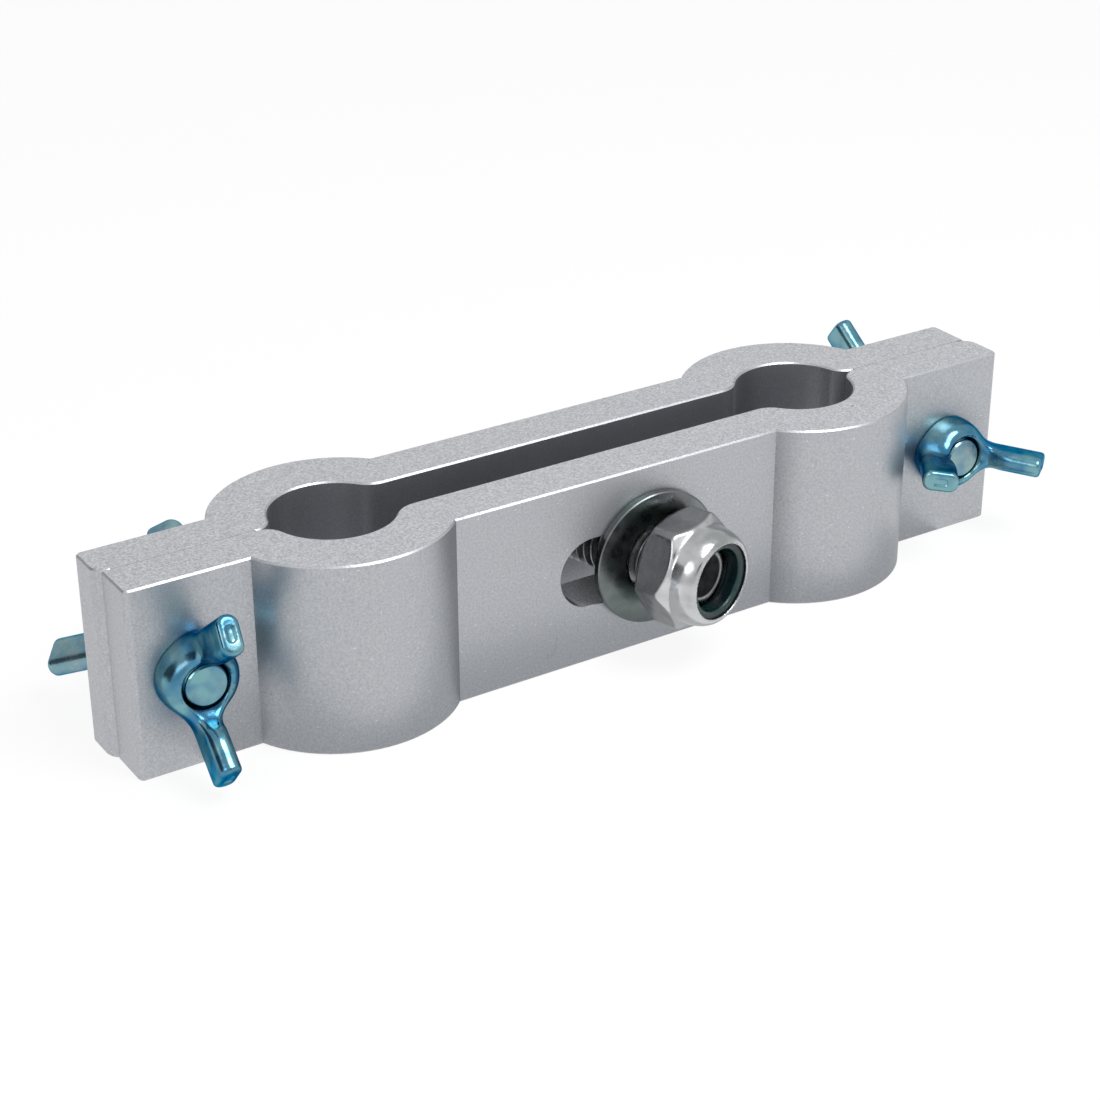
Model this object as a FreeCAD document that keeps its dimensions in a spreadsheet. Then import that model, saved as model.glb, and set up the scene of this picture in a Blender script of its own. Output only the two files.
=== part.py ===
import FreeCAD, Part
import math
import os
import Sketcher

os.makedirs("parts", exist_ok=True)
doc = FreeCAD.newDocument("double_tube_clamp")

# Frame: the origin is on the left tube's axis at half height, +X runs to the right tube, +Z along
# both tubes and -Y out of the front. The halves meet at y = 0 and all bolts lie at z = 0. Millimetres.
# Each piece is drawn about the middle of the clamp, then placed half the tube spacing along +X.

# Sizes: name, value, meaning
table = [
    # extrusion shared by both halves
    ("height", 35.0, "height of the clamp, the length of extrusion cut off"),
    ("tube_radius", 11.0, "radius of the round seat for each tube"),
    ("half_spacing", 48.6, "tube axis to middle of the clamp"),
    ("bulge_radius", 21.2, "outside radius round each tube"),
    ("tab_thick", 8.55, "thickness of the end tabs"),
    ("gap_half", 5.0, "parting plane to inner face of the middle plate"),
    ("plate_out", 14.65, "parting plane to outer face of the middle plate"),
    ("end_long", 11.7, "wing bolt axis to the end of the longer tab"),
    ("end_short", 10.6, "wing bolt axis to the end of the shorter tab"),
    ("end_round", 1.0, "rounding of the outer corners of the tabs"),
    ("lip_round", 2.75, "rounding of the inner corner of the longer tab"),
    ("mouth_round", 3.8, "rounding from tube seat to parting face"),
    ("neck_round", 5.0, "rounding from tube seat to middle plate"),
    ("edge_break", 0.3, "bevel round the sawn faces, not along the parting faces"),
    # slot for the centre bolt
    ("slot_width", 13.0, "height of the slot"),
    ("slot_length", 26.0, "overall length of the slot"),
    ("slot_shift", 0.45, "middle of the slot, away from x = 0 on the side of the shorter tab"),
    ("slot_bevel", 0.15, "bevel round the outer mouth of the slot"),
    # wing bolts and wing nuts
    ("stud_clear", 4.6, "clearance between a wing hub and the round outside of the tube seat"),
    ("stud_radius", 3.95, "radius over the thread of the wing bolts"),
    ("thread_fit", 0.05, "radial clearance of a nut on its bolt"),
    ("stud_room", 0.55, "radial clearance of a wing bolt in the tabs"),
    ("stud_flush", 0.05, "wing bolt end below the face of its nut"),
    ("stud_bevel", 0.4, "bevel at the end of a wing bolt"),
    ("hub_radius", 6.9, "seat radius of the hub"),
    ("hub_top", 5.9, "radius of the outer face of the hub"),
    ("hub_rim", 3.0, "straight rim of the hub"),
    ("hub_height", 5.6, "height of the hub"),
    ("hub_round", 1.3, "rounding of the outer face of the hub"),
    ("hub_sink", 0.65, "countersink at the face of the nut"),
    ("wing_thick", 3.9, "thickness of a wing"),
    ("wing_width", 6.8, "width of a wing"),
    ("wing_angle", 52.0, "angle of a wing from the seat plane, degrees"),
    ("wing_foot", 6.4, "where the outer edge of a wing leaves the hub, from the axis"),
    ("wing_sill", 0.4, "where the outer edge of a wing leaves the hub, from the seat"),
    ("nut_wing", 14.5, "length of a nut's wing along its outer edge"),
    ("bolt_wing", 16.9, "length of a bolt's wing along its outer edge"),
    ("wing_tip", 0.5, "rounding round the end face of a wing"),
    ("wing_soft", 1.0, "rounding of the long edges of a wing"),
    ("left_nut_angle", 85.0, "direction of the left nut's wings, degrees up from +X"),
    ("right_nut_angle", -6.6, "direction of the right nut's wings, degrees"),
    ("left_bolt_angle", 40.8, "direction of the left bolt's wings, degrees"),
    ("right_bolt_angle", 94.0, "direction of the right bolt's wings, degrees"),
    # centre bolt, washer and lock nut
    ("bolt_radius", 5.95, "radius over the thread of the centre bolt"),
    ("bolt_length", 45.0, "length of the centre bolt under its head"),
    ("bolt_bevel", 1.0, "bevel at the end of the centre bolt"),
    ("bolt_rim", 0.5, "flat rim between bevel and cup in the end of the centre bolt"),
    ("bolt_cup", 0.8, "depth of the cup in the end of the centre bolt"),
    ("bolt_lean", 15.2, "lean of the centre bolt along the slots, degrees"),
    ("bolt_place", 6.5, "x of the bolt axis at the outer face of the front plate"),
    ("flats", 19.0, "width across flats of the bolt head and the lock nut"),
    ("head_height", 7.5, "height of the bolt head"),
    ("face_radius", 8.8, "radius of the round bearing face of head and nut"),
    ("face_bevel", 30.0, "angle of the bevels on the hexagon corners, degrees"),
    ("seat_slack", 0.02, "play left where head and nut rest on an edge"),
    ("washer_radius", 12.5, "outside radius of the washer"),
    ("washer_hole", 6.8, "hole radius of the washer"),
    ("washer_thick", 1.5, "thickness of the washer"),
    ("washer_edge", 0.2, "bevel of the washer's outer edges"),
    ("nut_height", 12.0, "height of the lock nut"),
    ("nut_sink", 0.6, "countersink at the seat of the lock nut"),
    ("dome_start", 4.35, "height where the dome meets the corners of the hexagon"),
    ("dome_knee", 6.8, "height of the knee between cone and collar"),
    ("dome_knee_radius", 9.45, "radius of that knee"),
    ("dome_bow", 5.2, "radius of the rounding of the collar"),
    ("lip_outer", 7.75, "outer radius of the rolled lip"),
    ("lip_inner", 6.9, "inner radius of the rolled lip"),
    ("lip_thick", 0.6, "thickness of the rolled lip"),
    ("ring_seat", 8.35, "height of the shoulder that the nylon ring rests on"),
    ("ring_radius", 7.5, "outside radius of the nylon ring"),
    ("ring_fit", 0.05, "clearance round the nylon ring"),
    ("ring_hole", 5.65, "hole radius of the nylon ring"),
    ("ring_bevel", 0.7, "bevel at the mouth of the nylon ring"),
    # drawing aid
    ("past", 1.0, "how far a cutting profile runs past the face that it cuts"),
]
sheet = doc.addObject("Spreadsheet::Sheet", "Sizes")
for row, (alias, value, meaning) in enumerate(table, start=1):
    sheet.set("A" + str(row), meaning)
    sheet.set("B" + str(row), str(value))
    sheet.setAlias("B" + str(row), alias)
doc.recompute()


def number(formula):
    found = sheet.evalExpression(formula)
    return float(getattr(found, "Value", found))


def plane_of(body, role):
    return [item for item in body.Origin.OriginFeatures if item.Role == role][0]


def new_sketch(body, name, role):
    sketch = body.newObject("Sketcher::SketchObject", name)
    sketch.AttachmentSupport = [(plane_of(body, role), "")]
    sketch.MapMode = "FlatFace"
    return sketch


def bind(sketch, kind, targets, name, formula):
    place = sketch.addConstraint(Sketcher.Constraint(kind, *targets, number(formula)))
    sketch.renameConstraint(place, name)
    sketch.setExpression("Constraints." + name, formula)


def pin(sketch, line, end, x, y, name):
    # ties one end of an element to x and y, both given as formulas
    for kind, axis, formula, tag in (("DistanceX", -2, x, "x"), ("DistanceY", -1, y, "y")):
        value = number(formula)
        if abs(value) < 1e-9:
            sketch.addConstraint(Sketcher.Constraint("PointOnObject", line, end, axis))
        elif value > 0:
            bind(sketch, kind, (-1, 1, line, end), name + tag, formula)
        else:
            bind(sketch, kind, (line, end, -1, 1), name + tag, "-(" + formula + ")")


def outline(sketch, points):
    # closed outline of straight lines through points given as pairs of formulas
    spots = [FreeCAD.Vector(number(x), number(y), 0) for x, y in points]
    count = len(spots)
    for i in range(count):
        sketch.addGeometry(Part.LineSegment(spots[i], spots[(i + 1) % count]), False)
    for i in range(count):
        sketch.addConstraint(Sketcher.Constraint("Coincident", i, 2, (i + 1) % count, 1))
    for i, (x, y) in enumerate(points):
        pin(sketch, i, 1, x, y, "corner" + chr(97 + i))


def turned(body, kind, name, sketch):
    # revolved feature about the body's own Y axis
    feature = body.newObject("PartDesign::" + kind, name)
    feature.Profile = sketch
    feature.ReferenceAxis = (sketch, ["V_Axis"])
    feature.Angle = 360.0
    sketch.Visibility = False
    doc.recompute()
    return feature


def edges_where(feature, test):
    return ["Edge" + str(i) for i, edge in enumerate(feature.Shape.Edges, start=1) if test(edge)]


def upright_at(spots):
    def test(edge):
        ends = [vertex.Point for vertex in edge.Vertexes]
        if len(ends) != 2 or abs(ends[0].z - ends[1].z) < 1:
            return False
        return any(math.hypot(ends[0].x - x, ends[0].y - y) < 0.05 for x, y in spots)
    return test


def dress(body, kind, name, base, names, size_name, formula):
    feature = body.newObject("PartDesign::" + kind, name)
    feature.Base = (base, names)
    feature.setExpression(size_name, formula)
    doc.recompute()
    return feature


def must_cut(before, after, name):
    if after.Shape.Volume > before.Shape.Volume - 1e-3:
        raise RuntimeError(name + " removed nothing")


# Clamp halves: one extrusion profile, cut to length, slotted and drilled.
# The tabs start where the round outside of a tube seat ends, and the wing hubs stand clear of it.
shoulder = "Sizes.half_spacing + sqrt(Sizes.bulge_radius ^ 2 - Sizes.tab_thick ^ 2)"
stud = "(" + shoulder + " + Sizes.stud_clear + Sizes.hub_radius)"
long_end = stud + " + Sizes.end_long"
short_end = stud + " + Sizes.end_short"
mouth_end = "Sizes.half_spacing + sqrt(Sizes.tube_radius ^ 2 + 2 * Sizes.tube_radius * Sizes.mouth_round)"


def clamp_half(name, turn):
    body = doc.addObject("PartDesign::Body", name)
    body.Label = name
    half = number("Sizes.half_spacing")
    bore = number("Sizes.tube_radius")
    bulge = number("Sizes.bulge_radius")
    tab = number("Sizes.tab_thick")
    gap = number("Sizes.gap_half")
    out = number("Sizes.plate_out")
    far = number(long_end)
    near = number(short_end)
    neck = half - math.sqrt(bore ** 2 - gap ** 2)
    foot = number(shoulder)
    waist = half - math.sqrt(bulge ** 2 - out ** 2)

    def spot(x, y):
        return FreeCAD.Vector(x, y, 0)

    def arc(x, radius, first, last):
        circle = Part.Circle(spot(x, 0), FreeCAD.Vector(0, 0, 1), radius)
        return Part.ArcOfCircle(circle, first, last)

    rise = math.asin(gap / bore)
    low, high = math.asin(tab / bulge), math.pi - math.asin(out / bulge)
    sketch = new_sketch(body, name + "_profile", "XY_Plane")
    sketch.addGeometry([
        Part.LineSegment(spot(near, 0), spot(half + bore, 0)),
        arc(half, bore, 0, math.pi - rise),
        Part.LineSegment(spot(neck, gap), spot(-neck, gap)),
        arc(-half, bore, rise, math.pi),
        Part.LineSegment(spot(-half - bore, 0), spot(-far, 0)),
        Part.LineSegment(spot(-far, 0), spot(-far, tab)),
        Part.LineSegment(spot(-far, tab), spot(-foot, tab)),
        arc(-half, bulge, math.pi - high, math.pi - low),
        Part.LineSegment(spot(-waist, out), spot(waist, out)),
        arc(half, bulge, low, high),
        Part.LineSegment(spot(foot, tab), spot(near, tab)),
        Part.LineSegment(spot(near, tab), spot(near, 0)),
    ], False)
    joins = [(0, 2, 1, 1), (1, 2, 2, 1), (2, 2, 3, 1), (3, 2, 4, 1), (4, 2, 5, 1), (5, 2, 6, 1),
             (6, 2, 7, 2), (7, 1, 8, 1), (8, 2, 9, 2), (9, 1, 10, 1), (10, 2, 11, 1), (11, 2, 0, 1),
             (7, 3, 3, 3), (9, 3, 1, 3)]
    for join in joins:
        sketch.addConstraint(Sketcher.Constraint("Coincident", *join))
    for line in (0, 2, 4, 6, 8, 10):
        sketch.addConstraint(Sketcher.Constraint("Horizontal", line))
    for line in (5, 11):
        sketch.addConstraint(Sketcher.Constraint("Vertical", line))
    for line, end in ((0, 1), (4, 2), (1, 3), (3, 3)):
        sketch.addConstraint(Sketcher.Constraint("PointOnObject", line, end, -1))
    bind(sketch, "DistanceX", (-1, 1, 1, 3), "right_tube", "Sizes.half_spacing")
    bind(sketch, "DistanceX", (3, 3, -1, 1), "left_tube", "Sizes.half_spacing")
    bind(sketch, "DistanceX", (-1, 1, 0, 1), "short_end", short_end)
    bind(sketch, "DistanceX", (4, 2, -1, 1), "long_end", long_end)
    bind(sketch, "DistanceY", (-1, 1, 2, 1), "inner_face", "Sizes.gap_half")
    bind(sketch, "DistanceY", (-1, 1, 5, 2), "left_tab", "Sizes.tab_thick")
    bind(sketch, "DistanceY", (-1, 1, 10, 2), "right_tab", "Sizes.tab_thick")
    bind(sketch, "DistanceY", (-1, 1, 8, 1), "outer_face", "Sizes.plate_out")
    bind(sketch, "Radius", (1,), "right_seat", "Sizes.tube_radius")
    bind(sketch, "Radius", (3,), "left_seat", "Sizes.tube_radius")
    bind(sketch, "Radius", (7,), "left_bulge", "Sizes.bulge_radius")
    bind(sketch, "Radius", (9,), "right_bulge", "Sizes.bulge_radius")
    pad = body.newObject("PartDesign::Pad", name + "_length")
    pad.Profile = sketch
    pad.SideType = "Symmetric"
    pad.setExpression("Length", "Sizes.height")
    sketch.Visibility = False
    doc.recompute()

    corners = upright_at([(-far, tab), (near, tab)])
    last = dress(body, "Fillet", name + "_ends", pad, edges_where(pad, corners), "Radius",
                 "Sizes.end_round")
    lip = upright_at([(-far, 0)])
    last = dress(body, "Fillet", name + "_lip", last, edges_where(last, lip), "Radius",
                 "Sizes.lip_round")
    mouths = upright_at([(half + bore, 0), (-half - bore, 0)])
    last = dress(body, "Fillet", name + "_mouths", last, edges_where(last, mouths), "Radius",
                 "Sizes.mouth_round")
    necks = upright_at([(neck, gap), (-neck, gap)])
    last = dress(body, "Fillet", name + "_necks", last, edges_where(last, necks), "Radius",
                 "Sizes.neck_round")

    def sawn(edge):
        heights = [vertex.Point.z for vertex in edge.Vertexes]
        flat = max(heights) - min(heights) < 1e-6
        return flat and abs(abs(heights[0]) - number("Sizes.height / 2")) < 1e-6

    dress(body, "Chamfer", name + "_edges", last, edges_where(last, sawn), "Size", "Sizes.edge_break")

    # the parting faces keep their sharp edges, so the bevel is filled again along them
    for tag, first, second in (
            ("left", "-(" + mouth_end + ")", "-(" + long_end + " - Sizes.lip_round)"),
            ("right", mouth_end, short_end + " - Sizes.edge_break")):
        strip = new_sketch(body, name + "_" + tag + "_edge", "XY_Plane")
        outline(strip, [
            (first, "0"),
            (second, "0"),
            (second, "2 * Sizes.edge_break"),
            (first, "2 * Sizes.edge_break"),
        ])
        last = body.newObject("PartDesign::Pad", name + "_" + tag + "_strip")
        last.Profile = strip
        last.SideType = "Symmetric"
        last.setExpression("Length", "Sizes.height")
        strip.Visibility = False
        doc.recompute()

    # slot for the centre bolt
    radius = number("Sizes.slot_width / 2")
    reach = number("(Sizes.slot_length - Sizes.slot_width) / 2")
    shift = -number("Sizes.slot_shift")
    slot = new_sketch(body, name + "_slot", "XZ_Plane")

    def end(x, first, last_angle):
        circle = Part.Circle(FreeCAD.Vector(x, 0, 0), FreeCAD.Vector(0, 0, 1), radius)
        return Part.ArcOfCircle(circle, first, last_angle)

    slot.addGeometry([
        Part.LineSegment(spot(shift - reach, -radius), spot(shift + reach, -radius)),
        end(shift + reach, -math.pi / 2, math.pi / 2),
        Part.LineSegment(spot(shift + reach, radius), spot(shift - reach, radius)),
        end(shift - reach, math.pi / 2, 3 * math.pi / 2),
    ], False)
    for join in ((0, 2, 1, 1), (1, 2, 2, 1), (2, 2, 3, 1), (3, 2, 0, 1)):
        slot.addConstraint(Sketcher.Constraint("Tangent", *join))
    slot.addConstraint(Sketcher.Constraint("Horizontal", 0))
    slot.addConstraint(Sketcher.Constraint("Equal", 1, 3))
    bind(slot, "Radius", (1,), "end_radius", "Sizes.slot_width / 2")
    bind(slot, "DistanceX", (3, 3, 1, 3), "reach", "Sizes.slot_length - Sizes.slot_width")
    pin(slot, 3, 3, "-Sizes.slot_shift - (Sizes.slot_length - Sizes.slot_width) / 2", "0", "left")
    cut = body.newObject("PartDesign::Pocket", name + "_slotted")
    cut.Profile = slot
    cut.setExpression("Length", "Sizes.plate_out + Sizes.past")
    slot.Visibility = False
    doc.recompute()
    must_cut(last, cut, "slot")
    last = cut

    # holes for the wing bolts
    holes = new_sketch(body, name + "_holes", "XZ_Plane")
    for i, side in enumerate(("-", "")):
        place = spot(number(side + stud), 0)
        size = number("Sizes.stud_radius + Sizes.stud_room")
        holes.addGeometry(Part.Circle(place, FreeCAD.Vector(0, 0, 1), size), False)
        bind(holes, "Radius", (i,), "hole" + "ab"[i], "Sizes.stud_radius + Sizes.stud_room")
        pin(holes, i, 3, side + stud, "0", "centre" + "ab"[i])
    cut = body.newObject("PartDesign::Pocket", name + "_drilled")
    cut.Profile = holes
    cut.setExpression("Length", "Sizes.plate_out + Sizes.past")
    holes.Visibility = False
    doc.recompute()
    must_cut(last, cut, "holes")
    last = cut

    def slot_mouth(edge):
        points = [vertex.Point for vertex in edge.Vertexes]
        on_face = all(abs(point.y - out) < 1e-6 for point in points)
        room = number("Sizes.height / 2") - 1
        inside = all(abs(point.x) < waist - 1 and abs(point.z) < room for point in points)
        return on_face and inside

    dress(body, "Chamfer", name + "_slot_mouth", last, edges_where(last, slot_mouth), "Size",
          "Sizes.slot_bevel")
    body.Placement = FreeCAD.Placement(
        FreeCAD.Vector(half, 0, 0), FreeCAD.Rotation(FreeCAD.Vector(0, 0, 1), turn))
    body.setExpression("Placement.Base.x", "Sizes.half_spacing")
    return body


back_half = clamp_half("back_half", 0)
front_half = clamp_half("front_half", 180)


# Wing bolts and wing nuts: a turned hub, two wings, then a threaded hole or a shank.
# Each is made about its own Y axis with its seat at y = 0, standing out towards `side`.

def winged(name, side, wing_length):
    body = doc.addObject("PartDesign::Body", name)
    body.Label = name
    sign = "" if side > 0 else "-"
    hub_sketch = new_sketch(body, name + "_hub_profile", "XY_Plane")
    outline(hub_sketch, [
        ("0", "0"),
        ("Sizes.hub_radius", "0"),
        ("Sizes.hub_radius", sign + "Sizes.hub_rim"),
        ("Sizes.hub_top", sign + "Sizes.hub_height"),
        ("0", sign + "Sizes.hub_height"),
    ])
    hub = turned(body, "Revolution", name + "_hub", hub_sketch)
    top = number(sign + "Sizes.hub_height")

    def crown(edge):
        return abs(edge.BoundBox.YMin - top) < 1e-6 and abs(edge.BoundBox.YMax - top) < 1e-6

    hub = dress(body, "Fillet", name + "_crown", hub, edges_where(hub, crown), "Radius", "Sizes.hub_round")

    wing = new_sketch(body, name + "_wing_profile", "XY_Plane")
    rise = "Sizes.wing_angle"
    foot = ("Sizes.wing_foot", "Sizes.wing_sill")
    along = wing_length
    tip = (foot[0] + " + " + along + " * cos(" + rise + ")",
           foot[1] + " + " + along + " * sin(" + rise + ")")
    across = ("Sizes.wing_width * sin(" + rise + ")", "Sizes.wing_width * cos(" + rise + ")")

    def mirrored(pair):
        return (pair[0], pair[1] if side > 0 else "-(" + pair[1] + ")")

    outline(wing, [
        mirrored(foot),
        mirrored(tip),
        mirrored((tip[0] + " - " + across[0], tip[1] + " + " + across[1])),
        mirrored((foot[0] + " - " + across[0], foot[1] + " + " + across[1])),
    ])
    pad = body.newObject("PartDesign::Pad", name + "_wing")
    pad.Profile = wing
    pad.SideType = "Symmetric"
    pad.setExpression("Length", "Sizes.wing_thick")
    wing.Visibility = False
    doc.recompute()
    pair = body.newObject("PartDesign::Mirrored", name + "_wings")
    pair.Originals = [pad]
    pair.MirrorPlane = (plane_of(body, "YZ_Plane"), [""])
    body.Tip = pair
    doc.recompute()
    lean = math.radians(number(rise))
    way = FreeCAD.Vector(math.cos(lean), math.sin(lean), 0)
    tip_spot = FreeCAD.Vector(number(tip[0]), number(tip[1]), 0)

    def folded(vertex):
        # the vertex as if it were on the first wing, standing out towards +Y
        return FreeCAD.Vector(abs(vertex.Point.x), abs(vertex.Point.y), vertex.Point.z)

    def wing_edge(edge):
        ends = [folded(vertex) for vertex in edge.Vertexes]
        run = ends[-1].sub(ends[0])
        return run.Length > 1 and abs(run.dot(way)) > 0.9999 * run.Length

    last = dress(body, "Fillet", name + "_soft", pair, edges_where(pair, wing_edge), "Radius",
                 "Sizes.wing_soft")

    def tip_edge(edge):
        return all(abs(folded(vertex).sub(tip_spot).dot(way)) < 1e-4 for vertex in edge.Vertexes)

    last = dress(body, "Fillet", name + "_tips", last, edges_where(last, tip_edge), "Radius",
                 "Sizes.wing_tip")
    return body, last


def placed(body, x, y, angle_name):
    # turns the piece about its own Y axis, then puts it in place
    x = "Sizes.half_spacing + " + x
    body.Placement = FreeCAD.Placement(
        FreeCAD.Vector(number(x), number(y), 0),
        FreeCAD.Rotation(FreeCAD.Vector(0, -1, 0), number("Sizes." + angle_name)))
    body.setExpression("Placement.Base.x", x)
    body.setExpression("Placement.Base.y", y)
    body.setExpression("Placement.Rotation.Angle", "Sizes." + angle_name + " * 1 deg")


def wing_nut(name, x, angle_name):
    body, last = winged(name, -1, "Sizes.nut_wing")
    hole = new_sketch(body, name + "_thread_profile", "XY_Plane")
    bore = "Sizes.stud_radius + Sizes.thread_fit"
    outline(hole, [
        ("0", "Sizes.past"),
        (bore + " + Sizes.hub_sink", "Sizes.past"),
        (bore + " + Sizes.hub_sink", "0"),
        (bore, "-Sizes.hub_sink"),
        (bore, "-Sizes.hub_height + Sizes.hub_sink"),
        (bore + " + Sizes.hub_sink", "-Sizes.hub_height"),
        (bore + " + Sizes.hub_sink", "-Sizes.hub_height - Sizes.past"),
        ("0", "-Sizes.hub_height - Sizes.past"),
    ])
    cut = turned(body, "Groove", name + "_thread", hole)
    must_cut(last, cut, name)
    placed(body, x, "-Sizes.tab_thick", angle_name)
    return body


def wing_bolt(name, x, angle_name):
    body, last = winged(name, 1, "Sizes.bolt_wing")
    shank = new_sketch(body, name + "_shank_profile", "XY_Plane")
    length = "2 * Sizes.tab_thick + Sizes.hub_height - Sizes.stud_flush"
    outline(shank, [
        ("0", "Sizes.past"),
        ("Sizes.stud_radius", "Sizes.past"),
        ("Sizes.stud_radius", "-(" + length + " - Sizes.stud_bevel)"),
        ("Sizes.stud_radius - Sizes.stud_bevel", "-(" + length + ")"),
        ("0", "-(" + length + ")"),
    ])
    turned(body, "Revolution", name + "_shank", shank)
    placed(body, x, "Sizes.tab_thick", angle_name)
    return body


left_wing_bolt = wing_bolt("left_wing_bolt", "(-" + stud + ")", "left_bolt_angle")
right_wing_bolt = wing_bolt("right_wing_bolt", stud, "right_bolt_angle")
left_wing_nut = wing_nut("left_wing_nut", "(-" + stud + ")", "left_nut_angle")
right_wing_nut = wing_nut("right_wing_nut", stud, "right_nut_angle")


# Centre bolt, lock nut, nylon ring and washer: made about their own Y axis, outward is -Y

def hexagon(body, name):
    sketch = new_sketch(body, name, "XZ_Plane")
    radius = number("Sizes.flats / 2 / cos(30)")
    spots = []
    for i in range(6):
        angle = math.radians(60 * i)
        spots.append(FreeCAD.Vector(radius * math.cos(angle), radius * math.sin(angle), 0))
    for i in range(6):
        sketch.addGeometry(Part.LineSegment(spots[i], spots[(i + 1) % 6]), False)
    sketch.addGeometry(Part.Circle(FreeCAD.Vector(0, 0, 0), FreeCAD.Vector(0, 0, 1), radius), True)
    for i in range(6):
        sketch.addConstraint(Sketcher.Constraint("Coincident", i, 2, (i + 1) % 6, 1))
        sketch.addConstraint(Sketcher.Constraint("PointOnObject", i, 1, 6))
    for i in range(1, 6):
        sketch.addConstraint(Sketcher.Constraint("Equal", 0, i))
    sketch.addConstraint(Sketcher.Constraint("Coincident", 6, 3, -1, 1))
    sketch.addConstraint(Sketcher.Constraint("Horizontal", 1))
    bind(sketch, "Radius", (6,), "corner_radius", "Sizes.flats / 2 / cos(30)")
    return sketch


def prism(body, name, sketch, formula, backwards):
    pad = body.newObject("PartDesign::Pad", name)
    pad.Profile = sketch
    pad.setExpression("Length", formula)
    pad.Reversed = backwards
    sketch.Visibility = False
    doc.recompute()
    return pad


corner = "(Sizes.flats / 2 / cos(30) + Sizes.past)"
bevel = "(" + corner + " - Sizes.face_radius) * tan(Sizes.face_bevel)"

centre_bolt = doc.addObject("PartDesign::Body", "centre_bolt")
centre_bolt.Label = "centre_bolt"
head = prism(centre_bolt, "bolt_head", hexagon(centre_bolt, "bolt_flats"), "Sizes.head_height", True)
for tag, face, into in (("outer", "Sizes.head_height", " - "), ("inner", "0", " + ")):
    trim = new_sketch(centre_bolt, "bolt_" + tag + "_trim", "XY_Plane")
    outline(trim, [
        ("Sizes.face_radius", face),
        (corner, face),
        (corner, face + into + bevel),
    ])
    cut = turned(centre_bolt, "Groove", "bolt_" + tag + "_bevel", trim)
    must_cut(head, cut, tag)
    head = cut
shank = new_sketch(centre_bolt, "bolt_shank_profile", "XY_Plane")
outline(shank, [
    ("0", "Sizes.past"),
    ("Sizes.bolt_radius", "Sizes.past"),
    ("Sizes.bolt_radius", "-Sizes.bolt_length + Sizes.bolt_bevel"),
    ("Sizes.bolt_radius - Sizes.bolt_bevel", "-Sizes.bolt_length"),
    ("Sizes.bolt_radius - Sizes.bolt_bevel - Sizes.bolt_rim", "-Sizes.bolt_length"),
    ("0", "-Sizes.bolt_length + Sizes.bolt_cup"),
])
turned(centre_bolt, "Revolution", "bolt_shank", shank)

lock_nut = doc.addObject("PartDesign::Body", "lock_nut")
lock_nut.Label = "lock_nut"
block = prism(lock_nut, "nut_block", hexagon(lock_nut, "nut_flats"), "Sizes.nut_height", False)
seat = new_sketch(lock_nut, "nut_seat_trim", "XY_Plane")
outline(seat, [("Sizes.face_radius", "0"), (corner, "0"), (corner, "-(" + bevel + ")")])
cut = turned(lock_nut, "Groove", "nut_seat_bevel", seat)
must_cut(block, cut, "nut seat")
dome = new_sketch(lock_nut, "nut_dome_trim", "XY_Plane")
knee = FreeCAD.Vector(number("Sizes.dome_knee_radius"), -number("Sizes.dome_knee"), 0)
lip = FreeCAD.Vector(number("Sizes.lip_outer"), -number("Sizes.nut_height"), 0)
wide, deep = number(corner), number("Sizes.nut_height + Sizes.past")
bow = number("Sizes.dome_bow")
chord = lip.sub(knee)
centre_back = math.sqrt(bow ** 2 - (chord.Length / 2) ** 2)
inward = FreeCAD.Vector(chord.y, -chord.x, 0).normalize()
bow_centre = knee.add(chord.multiply(0.5)).add(inward.multiply(centre_back))
chord = lip.sub(knee)
first = math.atan2(lip.y - bow_centre.y, lip.x - bow_centre.x)
second = math.atan2(knee.y - bow_centre.y, knee.x - bow_centre.x)
bow_circle = Part.Circle(bow_centre, FreeCAD.Vector(0, 0, 1), bow)
dome.addGeometry([
    Part.LineSegment(FreeCAD.Vector(wide, -number("Sizes.dome_start"), 0), knee),
    Part.ArcOfCircle(bow_circle, first, second),
    Part.LineSegment(lip, FreeCAD.Vector(lip.x, -deep, 0)),
    Part.LineSegment(FreeCAD.Vector(lip.x, -deep, 0), FreeCAD.Vector(wide, -deep, 0)),
    Part.LineSegment(FreeCAD.Vector(wide, -deep, 0), FreeCAD.Vector(wide, -number("Sizes.dome_start"), 0)),
], False)
for join in ((0, 2, 1, 2), (1, 1, 2, 1), (2, 2, 3, 1), (3, 2, 4, 1), (4, 2, 0, 1)):
    dome.addConstraint(Sketcher.Constraint("Coincident", *join))
pin(dome, 0, 1, corner, "-Sizes.dome_start", "start")
pin(dome, 0, 2, "Sizes.dome_knee_radius", "-Sizes.dome_knee", "knee")
pin(dome, 2, 1, "Sizes.lip_outer", "-Sizes.nut_height", "lip")
pin(dome, 3, 1, "Sizes.lip_outer", "-Sizes.nut_height - Sizes.past", "deep")
pin(dome, 3, 2, corner, "-Sizes.nut_height - Sizes.past", "wide")
bind(dome, "Radius", (1,), "bow", "Sizes.dome_bow")
domed = turned(lock_nut, "Groove", "nut_dome", dome)
must_cut(cut, domed, "nut dome")
bore = "Sizes.bolt_radius + Sizes.thread_fit"
cavity = new_sketch(lock_nut, "nut_cavity_profile", "XY_Plane")
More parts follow.
